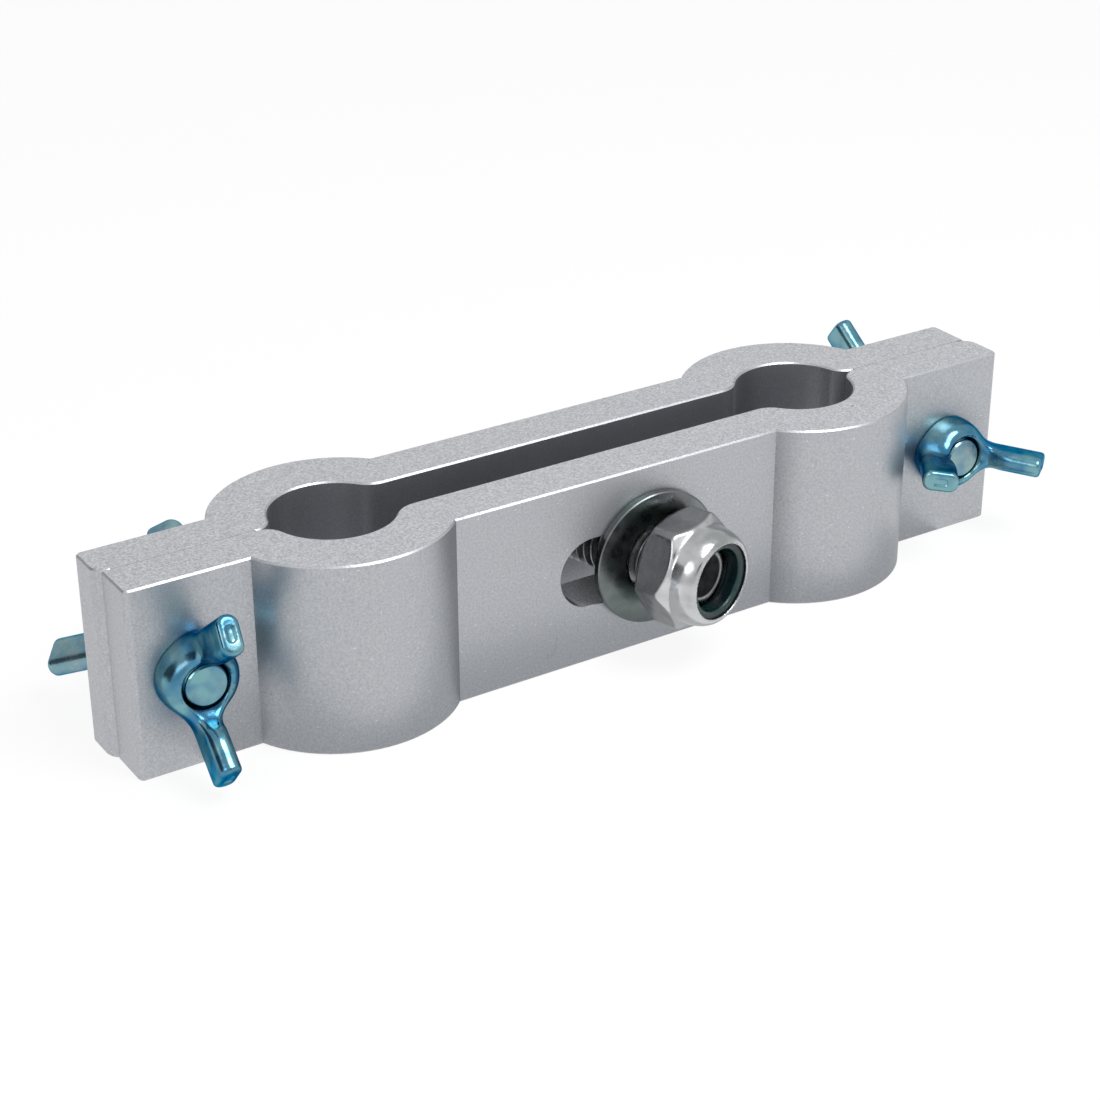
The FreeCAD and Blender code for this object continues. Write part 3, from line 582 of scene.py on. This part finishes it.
def makeSteel(name, light, greenShare, roughMore, dented):
    s = steelSet
    material, tree, shader, place = newMaterial(name)
    grain = useGroup(tree, grainGroup, place, s["grain"])
    marks = useGroup(tree, marksGroup, place, s["marks"])
    patches = noiseNode(tree, place, *s["patches"])
    dark = tuple(s["darker"] * part for part in light)
    base = mixColour(tree, mapped(tree, patches, 0.40, 0.66, 0.0, 0.75), light, dark)
    tint = noiseNode(tree, place, *s["tint"])
    base = mixColour(tree, mapped(tree, tint, 0.45, 0.65, 0.0, greenShare), base, s["green"])
    worn = mathNode(tree, "MAXIMUM", marks["Pits"], marks["Scratches"])
    base = mixColour(tree, mathNode(tree, "MULTIPLY", worn, s["wornShare"]), base, s["worn"])
    dents = noiseNode(tree, place, *s["dents"])
    # painted shade: a per-point value darkens the flats, the bore, the thread roots and the end
    # cup, and near its top end goes almost black
    paintedShade = tree.nodes.new("ShaderNodeAttribute")
    paintedShade.attribute_name = "paintedShade"
    base = mixColour(tree, paintedShade.outputs["Fac"], base, s["paintedShade"])
    deepestShade = mapped(tree, paintedShade.outputs["Fac"], 0.88, 0.96, 0.0, 1.0)
    deepestShade = mathNode(tree, "MULTIPLY", deepestShade, mapped(tree, dents, 0.35, 0.6, 0.7, 1.0))
    base = mixColour(tree, deepestShade, base, s["deepestShade"])
    soft = bumpNode(tree, dents, s["softBump"], dented)
    sunk = mathNode(tree, "MULTIPLY", worn, s["wornDepth"])
    height = mathNode(tree, "SUBTRACT", grain["Height"], sunk)
    roughLow, roughHigh = s["roughLow"] + roughMore, s["roughHigh"] + roughMore
    wire(tree, [
        (base, shader.inputs["Base Color"]),
        (mapped(tree, grain["Clouds"], 0.0, 1.0, roughLow, roughHigh), shader.inputs["Roughness"]),
        (bumpNode(tree, height, *s["fineBump"], soft), shader.inputs["Normal"]),
    ])
    shader.inputs["Metallic"].default_value = 1.0
    return material


nylonSet = {
    "grain": {"Grain Scale": 1400.0, "Cloud Scale": 300.0, "Fleck Share": 0.0},
    "dark": (0.001, 0.004, 0.008),
    "light": (0.003, 0.022, 0.026),
    # painted highlight: the colour laid on the mouth of the ring
    "worn": (0.007, 0.06, 0.055),
    "roughLow": 0.22,
    "roughHigh": 0.42,
    "bump": (0.4, 0.00004),
}


def makeNylon():
    s = nylonSet
    material, tree, shader, place = newMaterial("darkNylon")
    grain = useGroup(tree, grainGroup, place, s["grain"])
    base = mixColour(tree, grain["Clouds"], s["dark"], s["light"])
    # painted highlight: the rim attribute lightens the mouth's rounded edge to teal
    rim = tree.nodes.new("ShaderNodeAttribute")
    rim.attribute_name = "rim"
    highlightStreak = mathNode(tree, "MULTIPLY", rim.outputs["Fac"],
                      mapped(tree, grain["Mask"], 0.0, 1.0, 0.3, 1.0))
    base = mixColour(tree, highlightStreak, base, s["worn"])
    rough = mapped(tree, grain["Mask"], 0.0, 1.0, s["roughLow"], s["roughHigh"])
    wire(tree, [
        (base, shader.inputs["Base Color"]),
        (rough, shader.inputs["Roughness"]),
        (bumpNode(tree, grain["Height"], *s["bump"]), shader.inputs["Normal"]),
    ])
    shader.inputs["Specular IOR Level"].default_value = 0.5
    return material


aluminium = makeAluminium()
blueZinc = makeBlueZinc("blueZinc", 0.0)
greyZinc = makeBlueZinc("greyZinc", 0.7)
nutSteel = makeSteel("nutSteel", (0.60, 0.61, 0.62), 0.12, 0.02, 0.00018)
washerSteel = makeSteel("washerSteel", (0.20, 0.21, 0.215), 0.3, 0.10, 0.00003)
boltSteel = makeSteel("boltSteel", (0.56, 0.57, 0.58), 0.1, 0.06, 0.00010)
nylon = makeNylon()
print("materials made")


def dressNode(name, material):
    data = nodes[name].data
    data.materials.clear()
    data.materials.append(material)


dressNode("back_half", aluminium)
dressNode("front_half", aluminium)
dressNode("centre_washer", washerSteel)


# Wing nuts and wing bolts: a rounded hub with two wings that flow into it. The surface is found
# where a distance to the hub and wings is zero, in the piece's own frame with its seat at height 0.

wingSet = {
    "hubRadius": 6.9,
    "hubTop": 5.9,
    "hubRim": 2.4,
    "hubHeight": 5.6,
    "crownRound": 1.9,
    "angle": 52.0,
    "foot": (6.8, 0.3),
    "width": 6.8,
    "thick": 3.9,
    "sideRound": 1.8,
    "boreClear": 5.5,  # the wings leave this radius round the bore free
    "endRound": 0.55,
    "blend": 2.9,
    "nutWing": 14.3,
    "boltWing": 16.7,
    "hole": 4.15,
    "holeRound": 1.0,
    "tipDent": (1.35, 0.65, 0.22),  # half length, half width, depth of the recess in a wing's end
    "hubRound": 0.5,
    "boreRound": 1.6,
    "dentRound": 0.25,
    "dentEdge": 0.22,
    "seatRound": 0.35,
    "cell": 0.26,
}


def smoothLow(first, second, size):
    share = np.clip(0.5 + 0.5 * (second - first) / size, 0, 1)
    return second + (first - second) * share - size * share * (1 - share)


def smoothHigh(first, second, size):
    return -smoothLow(-first, -second, size)


def hubField(p):
    s = wingSet
    radius = np.hypot(p[:, 0], p[:, 2])
    height = p[:, 1]
    rise = s["hubHeight"] - s["hubRim"]
    run = s["hubRadius"] - s["hubTop"]
    side = ((radius - s["hubRadius"]) * rise + (height - s["hubRim"]) * run) / math.hypot(rise, run)
    shape = smoothHigh(radius - s["hubRadius"], side, s["hubRound"])
    return smoothHigh(shape, height - s["hubHeight"], s["crownRound"])


def wingField(p, length):
    s = wingSet
    a = math.radians(s["angle"])
    x = np.abs(p[:, 0]) - s["foot"][0]
    y = p[:, 1] - s["foot"][1]
    along = x * math.cos(a) + y * math.sin(a)
    across = -x * math.sin(a) + y * math.cos(a) - s["width"] / 2
    r = s["sideRound"]
    u = np.abs(across) - (s["width"] / 2 - r)
    v = np.abs(p[:, 2]) - (s["thick"] / 2 - r)
    bar = np.hypot(np.maximum(u, 0), np.maximum(v, 0)) + np.minimum(np.maximum(u, v), 0) - r
    shape = smoothHigh(bar, along - length, s["endRound"] * 1.6)
    shape = np.maximum(shape, -along)
    shape = smoothHigh(shape, s["boreClear"] - np.hypot(p[:, 0], p[:, 2]), s["boreRound"])
    # plain oblong recess in the end face
    halfLong, halfWide, depth = s["tipDent"]
    dent = np.hypot(np.maximum(np.abs(across) - (halfLong - halfWide), 0), p[:, 2]) - halfWide
    dent = smoothHigh(dent, (length - depth) - along, s["dentRound"])
    return smoothHigh(shape, -dent, s["dentEdge"])


def wingedField(p, length, holed):
    s = wingSet
    shape = smoothLow(hubField(p), wingField(p, length), s["blend"])
    if holed:
        shape = smoothHigh(shape, s["hole"] - np.hypot(p[:, 0], p[:, 2]), s["holeRound"])
    return smoothHigh(shape, -p[:, 1], s["seatRound"])


def slopeOf(field, p, step=0.01):
    slope = np.empty_like(p)
    for i in range(3):
        shift = np.zeros(3)
        shift[i] = step
        slope[:, i] = (field(p + shift) - field(p - shift)) / (2 * step)
    return slope


def skinOf(field, low, high, cell):
    # one point in every cell that the surface crosses, one quad across every crossed grid edge
    counts = [int(math.ceil((b - a) / cell)) + 1 for a, b in zip(low, high)]
    axes = [a + cell * np.arange(n) for a, n in zip(low, counts)]
    grid = np.stack(np.meshgrid(*axes, indexing="ij"), -1).reshape(-1, 3)
    inside = (field(grid) < 0).reshape(counts)
    nx, ny, nz = counts
    corners = sum(inside[i:nx - 1 + i, j:ny - 1 + j, k:nz - 1 + k].astype(int)
                  for i in (0, 1) for j in (0, 1) for k in (0, 1))
    used = (corners > 0) & (corners < 8)
    index = -np.ones(used.shape, int)
    index[used] = np.arange(used.sum())
    points = np.argwhere(used) * cell + np.array(low) + cell / 2
    for _ in range(6):
        value = field(points)
        slope = slopeOf(field, points)
        size = np.maximum((slope ** 2).sum(1), 0.05)
        move = -(value / size)[:, None] * slope
        far = np.linalg.norm(move, axis=1)
        points += move * np.minimum(1, cell / np.maximum(far, 1e-9))[:, None]
    quads = []
    for axis in range(3):
        first, second = (axis + 1) % 3, (axis + 2) % 3
        here = np.moveaxis(inside, (axis, first, second), (0, 1, 2))
        cells = np.moveaxis(index, (axis, first, second), (0, 1, 2))
        start, end = here[:-1, 1:-1, 1:-1], here[1:, 1:-1, 1:-1]
        for outward in (True, False):
            crossed = np.argwhere(start & ~end) if outward else np.argwhere(~start & end)
            i, j, k = crossed[:, 0], crossed[:, 1], crossed[:, 2]
            ring = [cells[i, j, k], cells[i, j + 1, k], cells[i, j + 1, k + 1], cells[i, j, k + 1]]
            quads.append(np.stack(ring if outward else ring[::-1], 1))
    return points, np.concatenate(quads)


def meshFrom(name, points, faces, material):
    mesh = bpy.data.meshes.new(name)
    mesh.from_pydata(points.tolist(), [], faces.tolist())
    mesh.update()
    mesh.materials.append(material)
    mesh.polygons.foreach_set("use_smooth", [True] * len(mesh.polygons))
    piece = bpy.data.objects.new(name, mesh)
    scene.collection.objects.link(piece)
    return piece


def paint(mesh, label, tone):
    # a value per point for the material, worked out in the piece's own frame
    spots = np.empty(len(mesh.vertices) * 3)
    mesh.vertices.foreach_get("co", spots)
    layer = mesh.attributes.new(label, "FLOAT", "POINT")
    layer.data.foreach_set("value", tone(spots.reshape(-1, 3)).astype(np.float32))


def turnedPlace(x, y, angle, side):
    # own frame (outward along its Y) to the clamp's frame, in metres
    flip = Matrix.Rotation(math.pi, 4, "X") if side < 0 else Matrix.Identity(4)
    spin = Matrix.Rotation(math.radians(angle), 4, Vector((0, -1, 0)))
    return Matrix.Translation((x * mm, y * mm, 0)) @ spin @ flip @ Matrix.Scale(mm, 4)


def makeWinged(name, node, body, x, y, angle, side, length, holed, material):
    def field(p):
        return wingedField(p, length, holed)

    s = wingSet
    reach = s["foot"][0] + length * math.cos(math.radians(s["angle"])) + 1
    top = s["foot"][1] + length * math.sin(math.radians(s["angle"])) + s["width"] * 0.7
    wide = s["hubRadius"] + 0.8
    points, faces = skinOf(field, (-reach, -0.8, -wide), (reach, top, wide), s["cell"])
    piece = meshFrom(name, points, faces, material)
    # painted shade: marks the fillets between the hub and the wings for the material
    paint(piece.data, "filletShade", lambda spots: np.clip(
        (np.minimum(hubField(spots), wingField(spots, length)) - 0.02) / 0.5, 0, 1))
    piece.data.transform(turnedPlace(x, y, angle, side))
    piece.data.update()
    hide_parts(node)
    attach(piece, body)
    return piece


studSet = {
    "fromSeat": 30.899,  # from a tube seat's axis out to the wing bolt's
    "halfSpacing": 48.6,
    "tabThick": 8.55,
    "leftNut": 85.0,  # turns of the winged pieces, degrees
    "rightNut": -6.6,
    "leftBolt": 40.8,
    "rightBolt": 94.0,
}
halfSpacing, tabThick = studSet["halfSpacing"], studSet["tabThick"]
leftStud = -studSet["fromSeat"]
rightStud = 2 * halfSpacing + studSet["fromSeat"]

makeWinged("leftWingNut", "left_wing_nut", "left_wing_nut", leftStud, -tabThick,
           studSet["leftNut"], -1, wingSet["nutWing"], True, blueZinc)
makeWinged("rightWingNut", "right_wing_nut", "right_wing_nut", rightStud, -tabThick,
           studSet["rightNut"], -1, wingSet["nutWing"], True, blueZinc)
makeWinged("leftWingBolt", "left_wing_bolt", "left_wing_bolt", leftStud, tabThick,
           studSet["leftBolt"], 1, wingSet["boltWing"], False, greyZinc)
makeWinged("rightWingBolt", "right_wing_bolt", "right_wing_bolt", rightStud, tabThick,
           studSet["rightBolt"], 1, wingSet["boltWing"], False, blueZinc)
print("wing nuts and wing bolts made")


# Threads: one Geometry Nodes tree sweeps a ridge along a helix, for wing bolts and centre bolt

def buildThreadTree():
    tree = bpy.data.node_groups.new("threadRidge", "GeometryNodeTree")
    for label, value in (("Length", 10.0), ("Pitch", 1.25), ("Core Radius", 3.3), ("Depth", 0.65),
                         ("Run Out", 1.0)):
        socket = tree.interface.new_socket(label, in_out="INPUT", socket_type="NodeSocketFloat")
        socket.default_value = value
    steps = tree.interface.new_socket("Steps per Turn", in_out="INPUT", socket_type="NodeSocketInt")
    steps.default_value = 48
    tree.interface.new_socket("Finish", in_out="INPUT", socket_type="NodeSocketMaterial")
    tree.interface.new_socket("Geometry", in_out="OUTPUT", socket_type="NodeSocketGeometry")
    source = tree.nodes.new("NodeGroupInput")
    target = tree.nodes.new("NodeGroupOutput")
    given = source.outputs

    helix = tree.nodes.new("GeometryNodeCurveSpiral")
    profile = tree.nodes.new("GeometryNodeCurvePrimitiveQuadrilateral")
    profile.mode = "TRAPEZOID"
    profile.inputs["Offset"].default_value = 0.0
    ridge = mathNode(tree, "MULTIPLY", given["Depth"], 1.2)
    sunk = mathNode(tree, "MULTIPLY", given["Depth"], 0.2)
    foot = mathNode(tree, "SUBTRACT", given["Core Radius"], sunk)
    wire(tree, [
        (given["Steps per Turn"], helix.inputs["Resolution"]),
        (mathNode(tree, "DIVIDE", given["Length"], given["Pitch"]), helix.inputs["Rotations"]),
        (foot, helix.inputs["Start Radius"]),
        (foot, helix.inputs["End Radius"]),
        (given["Length"], helix.inputs["Height"]),
        (mathNode(tree, "MULTIPLY", given["Pitch"], 0.99), profile.inputs["Bottom Width"]),
        (mathNode(tree, "MULTIPLY", given["Pitch"], 0.15), profile.inputs["Top Width"]),
        (ridge, profile.inputs["Height"]),
    ])
    # the profile's foot goes to its origin, its height points away from the axis
    lift = tree.nodes.new("ShaderNodeCombineXYZ")
    tree.links.new(mathNode(tree, "MULTIPLY", ridge, 0.5), lift.inputs["Y"])
    raised = tree.nodes.new("GeometryNodeTransform")
    turned = tree.nodes.new("GeometryNodeTransform")
    turned.inputs["Rotation"].default_value = (0, 0, math.radians(threadSet["profileTurn"]))
    # the ridge fades to nothing over the run-out at each end
    along = tree.nodes.new("GeometryNodeSplineParameter")
    fromStart = mathNode(tree, "MULTIPLY", along.outputs["Factor"], given["Length"])
    fromEnd = mathNode(tree, "SUBTRACT", given["Length"], fromStart)
    nearest = mathNode(tree, "MINIMUM", fromStart, fromEnd)
    nearest = mathNode(tree, "DIVIDE", nearest, given["Run Out"])
    fade = mathNode(tree, "MAXIMUM", mathNode(tree, "MINIMUM", nearest, 1.0), 0.05)
    upright = tree.nodes.new("GeometryNodeSetCurveNormal")
    upright.mode = "Z_UP"
    sweep = tree.nodes.new("GeometryNodeCurveToMesh")
    sweep.inputs["Fill Caps"].default_value = True
    flat = tree.nodes.new("GeometryNodeSetShadeSmooth")
    flat.inputs["Shade Smooth"].default_value = False
    real = tree.nodes.new("GeometryNodeRealizeInstances")
    finish = tree.nodes.new("GeometryNodeSetMaterial")
    wire(tree, [
        (profile.outputs[0], raised.inputs["Geometry"]),
        (lift.outputs[0], raised.inputs["Translation"]),
        (raised.outputs[0], turned.inputs["Geometry"]),
        (helix.outputs[0], upright.inputs[0]),
        (upright.outputs[0], sweep.inputs["Curve"]),
        (turned.outputs[0], sweep.inputs["Profile Curve"]),
        (fade, sweep.inputs["Scale"]),
        (sweep.outputs[0], flat.inputs[0]),
        (flat.outputs[0], real.inputs[0]),
        (real.outputs[0], finish.inputs["Geometry"]),
        (given["Finish"], finish.inputs["Material"]),
        (finish.outputs[0], target.inputs["Geometry"]),
    ])
    return tree


threadSet = {
    "profileTurn": 90.0,
    "wingPitch": 1.25,
    "wingCore": 3.32,
    "wingCrest": 3.93,
    "bigPitch": 1.75,
    "bigCore": 4.95,
    "bigCrest": 5.93,
    "steps": 48,
}
threadTree = buildThreadTree()


def ridgeMesh(length, pitch, core, crest, runOut, material):
    # the ridge about +Z from height 0, made plain
    holder = bpy.data.objects.new("ridgeHolder", bpy.data.meshes.new("ridgeHolder"))
    scene.collection.objects.link(holder)
    modifier = holder.modifiers.new("thread", "NODES")
    modifier.node_group = threadTree
    values = {"Length": length, "Pitch": pitch, "Core Radius": core, "Depth": crest - core,
              "Run Out": runOut, "Steps per Turn": threadSet["steps"], "Finish": material}
    for item in threadTree.interface.items_tree:
        if item.in_out == "INPUT":
            modifier[item.identifier] = values[item.name]
    ready = holder.evaluated_get(bpy.context.evaluated_depsgraph_get())
    mesh = bpy.data.meshes.new_from_object(ready)
    holder.modifiers.clear()
    bpy.data.objects.remove(holder)
    return mesh


latheSet = {
    "segments": 96,
    "smoothAngle": 30.0,
}


def lathe(name, profile, material):
    # closed solid of revolution about +Y from (radius, height) pairs: the first and last are
    # on the axis, or the last is joined to the first
    segments = latheSet["segments"]
    solid = bmesh.new()
    onAxis = profile[0][0] == 0 and profile[-1][0] == 0
    rings = []
    for radius, height in profile:
        if radius == 0:
            rings.append([solid.verts.new((0, height, 0))])
            continue
        ring = []
        for i in range(segments):
            a = 2 * math.pi * i / segments
            ring.append(solid.verts.new((radius * math.cos(a), height, radius * math.sin(a))))
        rings.append(ring)
    pairs = list(zip(rings, rings[1:]))
    if not onAxis:
        pairs.append((rings[-1], rings[0]))
    for lower, upper in pairs:
        for i in range(segments):
            j = (i + 1) % segments
            if len(lower) == 1 and len(upper) == 1:
                continue
            if len(lower) == 1:
                solid.faces.new((lower[0], upper[i], upper[j]))
            elif len(upper) == 1:
                solid.faces.new((lower[i], upper[0], lower[j]))
            else:
                solid.faces.new((lower[i], upper[i], upper[j], lower[j]))
    bmesh.ops.recalc_face_normals(solid, faces=solid.faces[:])
    for face in solid.faces:
        face.smooth = True
    for edge in solid.edges:
        edge.smooth = edge.calc_face_angle(0) < math.radians(latheSet["smoothAngle"])
    mesh = bpy.data.meshes.new(name)
    solid.to_mesh(mesh)
    solid.free()
    mesh.materials.append(material)
    return mesh


def joined(name, meshes, matrix, label=None, tone=None):
    # one piece from several closed meshes that share a material, put in place
    base = bmesh.new()
    for mesh in meshes:
        base.from_mesh(mesh)
    mesh = bpy.data.meshes.new(name)
    base.to_mesh(mesh)
    base.free()
    mesh.materials.append(meshes[0].materials[0])
    if tone is not None:
        paint(mesh, label, tone)
    mesh.transform(matrix)
    piece = bpy.data.objects.new(name, mesh)
    scene.collection.objects.link(piece)
    return piece


def arcPoints(centre, radius, first, last, count):
    # points on an arc in the radius and height plane, angles in degrees from the radius axis
    found = []
    for i in range(count + 1):
        a = math.radians(first + (last - first) * i / count)
        found.append((centre[0] + radius * math.cos(a), centre[1] + radius * math.sin(a)))
    return found


# Shanks of the wing bolts: a core with its end disc, and the threaded ridge

shankSet = {
    "length": 22.65,
    "endDisc": (3.38, 3.72),  # radius of the flat and of the edge below its bevel
    "runOut": 0.9,
}


def makeShank(name, body, x, angle, material):
    s, t = shankSet, threadSet
    end = -s["length"]
    flat, edge = s["endDisc"]
    core = lathe(name, [(0, 2.0), (t["wingCore"], 2.0), (t["wingCore"], end + 1.0),
                        (edge, end + 0.75), (edge, end + 0.42), (flat + 0.08, end + 0.05),
                        (flat, end), (2.2, end + 0.02), (0.6, end + 0.035), (0, end + 0.04)],
                 material)
    length = s["length"] - 0.6
    ridge = ridgeMesh(length, t["wingPitch"], t["wingCore"], t["wingCrest"], s["runOut"], material)
    # the helix is made about +Z and laid along -Y by a pure turn
    ridge.transform(Matrix.Rotation(math.radians(90), 4, "X"))
    piece = joined(name, [core, ridge], turnedPlace(x, tabThick, angle, 1))
    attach(piece, body)


makeShank("leftWingShank", "left_wing_bolt", leftStud, studSet["leftBolt"], blueZinc)
makeShank("rightWingShank", "right_wing_bolt", rightStud, studSet["rightBolt"], greyZinc)
print("wing bolt shanks made")


# Centre bolt, lock nut and nylon ring: all lean with the bolt's axis

centreSet = {
    "lean": 15.2,
    "place": halfSpacing + 6.5,  # x of the axis at the outer face of the front plate
    "plateOut": 14.65,
    "washerThick": 1.5,
    "faceRadius": 8.8,
    "slack": 0.02,
    "flats": 19.0,
    "headHeight": 7.5,
    "boltLength": 45.0,
    "boltCup": 0.8,
    "runOut": 1.2,
    "nutHeight": 12.0,
    "ringSeat": 8.35,
    "lipThick": 0.6,
    "edgeRound": 0.45,
    "cornerRound": 0.9,
    "nutTurn": -4.5,  # the nut's corners sit this far round from the bolt's, degrees
    "faceRound": 0.35,
    "seatRound": 0.3,
    "hollow": (0.35, 6.4),  # depth and radius of the shallow forged hollow in the head
    "shoulder": ((9.5, 6.9), 48),  # radius, height and slope of the nut's hexagon top
    "collar": 9.25,
    "dome": (((9.15, 9.3), 16), ((8.2, 11.5), 47)),
    "domeRound": 1.3,
    "nutBores": (6.05, 7.55, 6.9),  # radius at the thread, the ring's seat and the lip
    "cell": 0.25,
}


def leaningPlace(y, outward):
    # own frame (+Y along the bolt, away from the seat) to the clamp's frame
    s = centreSet
    lean = math.radians(s["lean"])
    x = s["place"] - (y + s["plateOut"]) * math.tan(lean)
    spin = Matrix.Rotation(lean, 4, "Z")
    flip = Matrix.Rotation(math.pi, 4, "X") if outward < 0 else Matrix.Identity(4)
    return Matrix.Translation((x * mm, y * mm, 0)) @ spin @ flip @ Matrix.Scale(mm, 4)


lift = centreSet["faceRadius"] * math.sin(math.radians(centreSet["lean"])) + centreSet["slack"]
headPlace = leaningPlace(centreSet["plateOut"] + lift, 1)
nutPlace = leaningPlace(-(centreSet["plateOut"] + centreSet["washerThick"] + lift), -1)


def hexField(p, edgeRound, turn=0.0):
    half = centreSet["flats"] / 2
    sides = []
    for i in range(3):
        a = math.radians(30 + 60 * i + turn)
        sides.append(np.abs(p[:, 0] * math.cos(a) + p[:, 2] * math.sin(a)) - half)
    return smoothHigh(smoothHigh(sides[0], sides[1], edgeRound), sides[2], edgeRound)


def slanted(radius, height, place, degrees):
    # half plane whose outward normal rises by this angle from the radius axis
    a = math.radians(degrees)
    return (radius - place[0]) * math.cos(a) + (height - place[1]) * math.sin(a)


def headField(p):
    s = centreSet
    radius, height = np.hypot(p[:, 0], p[:, 2]), p[:, 1]
    shape = hexField(p, s["edgeRound"])
    for level, slope in (s["headHeight"], 60), (0, -60):
        side = slanted(radius, height, (s["faceRadius"], level), slope)
        shape = smoothHigh(shape, side, s["faceRound"])
    depth, width = s["hollow"]
    dish = depth * np.clip(1 - (radius / width) ** 2, 0, 1)
    shape = smoothHigh(shape, height - s["headHeight"] + dish, 0.4)
    return smoothHigh(shape, -height, s["seatRound"])


def nutField(p):
    s = centreSet
    radius, height = np.hypot(p[:, 0], p[:, 2]), p[:, 1]
    block = hexField(p, s["cornerRound"], s["nutTurn"])
    seat = slanted(radius, height, (s["faceRadius"], 0), -60)
    block = smoothHigh(block, seat, s["faceRound"])
    block = smoothHigh(block, slanted(radius, height, *s["shoulder"]), 0.3)
    collar = np.maximum(radius - s["collar"], 2 - height)
    for spot, slope in s["dome"]:
        collar = smoothHigh(collar, slanted(radius, height, spot, slope), s["domeRound"])
    shape = smoothHigh(smoothLow(block, collar, 0.25), height - s["nutHeight"], 0.8)
    shape = smoothHigh(shape, -height, s["seatRound"])
    # threaded bore, seat of the nylon ring and rolled lip, the last worn round
    thread, seat, lip = s["nutBores"]
    above = np.where(height < s["nutHeight"] - s["lipThick"], seat, lip)
    bore = np.where(height < s["ringSeat"], thread, above)
    return smoothHigh(shape, bore - radius, 0.3)


def nutTone(spots):
    # painted shade: darker on the flats and darker still in the bore, none on the dome
    radius = np.hypot(spots[:, 0], spots[:, 2])
    off = np.abs(hexField(spots, centreSet["cornerRound"], centreSet["nutTurn"]))
    flat = 1 - np.clip(off / 0.10, 0, 1)
    inside = (radius < 7.6) & (spots[:, 1] < centreSet["nutHeight"] - 0.55)
    return np.where(inside, 0.85, 0.62 * flat * (radius > 9.3))


def boltTone(spots):
    # painted shade: dark in the thread roots and the end cup, light on the crests and the rim, a
    # little on the head
    radius, height = np.hypot(spots[:, 0], spots[:, 2]), spots[:, 1]
    core, crest = threadSet["bigCore"], threadSet["bigCrest"]
    tone = 0.92 - 0.75 * np.clip((radius - core - 0.25) / (crest - core - 0.3), 0, 1)
    atEnd = height < -centreSet["boltLength"] + 0.9
    tone = np.where(atEnd & (radius < core + 0.02), np.where(radius < core - 0.75, 1.0, 0.05), tone)
    return np.where(height > -0.2, 0.25, tone)


def hexSkin(name, field, height, material):
    s = centreSet
    half = s["flats"] / 2 / math.cos(math.radians(30)) + 0.6
    points, faces = skinOf(field, (-half, -0.6, -half), (half, height + 0.6, half), s["cell"])
    return meshFrom(name, points, faces, material)


def makeHead():
    s, t = centreSet, threadSet
    head = hexSkin("boltHeadOnly", headField, s["headHeight"], boltSteel)
    end = -s["boltLength"]
    rim = t["bigCore"]
    cup = end + s["boltCup"]
    core = lathe("boltCore", [(0, 2.0), (rim, 2.0), (rim, end + 0.22), (rim - 0.14, end + 0.05),
                              (rim - 0.32, end), (rim - 0.62, end + 0.03), (rim - 1.0, end + 0.18),
                              (2.6, cup - 0.30), (1.1, cup - 0.06), (0, cup)], boltSteel)
    length = s["boltLength"] - 0.25
    ridge = ridgeMesh(length, t["bigPitch"], rim, t["bigCrest"], s["runOut"], boltSteel)
    ridge.transform(Matrix.Rotation(math.radians(90), 4, "X"))
    piece = joined("centreBolt", [head.data, core, ridge], headPlace, "paintedShade", boltTone)
    bpy.data.objects.remove(head)
    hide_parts("centre_bolt")
    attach(piece, "centre_bolt")


def makeNut():
    shape = hexSkin("lockNutOnly", nutField, centreSet["nutHeight"], nutSteel)
    piece = joined("lockNut", [shape.data], nutPlace, "paintedShade", nutTone)
    bpy.data.objects.remove(shape)
    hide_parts("lock_nut")
    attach(piece, "lock_nut")


def ringMouthHighlight(spots):
    # painted highlight: lighter teal on the rounded mouth of the nylon ring
    radius, height = np.hypot(spots[:, 0], spots[:, 2]), spots[:, 1]
    top = centreSet["nutHeight"] - centreSet["lipThick"] - 0.05
    return np.clip(1 - np.hypot(radius - 5.95, height - top + 0.22) / 0.5, 0, 1)


def makeRing():
    s = centreSet
    low, high = s["ringSeat"], s["nutHeight"] - s["lipThick"] - 0.05
    inner, outer = 5.65, 7.5
    profile = [(inner, low), (outer, low), (outer, high - 0.3)]
    profile += arcPoints((outer - 0.3, high - 0.3), 0.3, 20, 90, 3)
    profile += arcPoints((inner + 0.75, high - 0.75), 0.75, 90, 180, 8)
    piece = joined("nylonRing", [lathe("nylonRing", profile, nylon)], nutPlace, "rim", ringMouthHighlight)
    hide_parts("lock_ring")
    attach(piece, "lock_nut")


makeHead()
makeNut()
makeRing()
print("centre bolt, lock nut and nylon ring made")
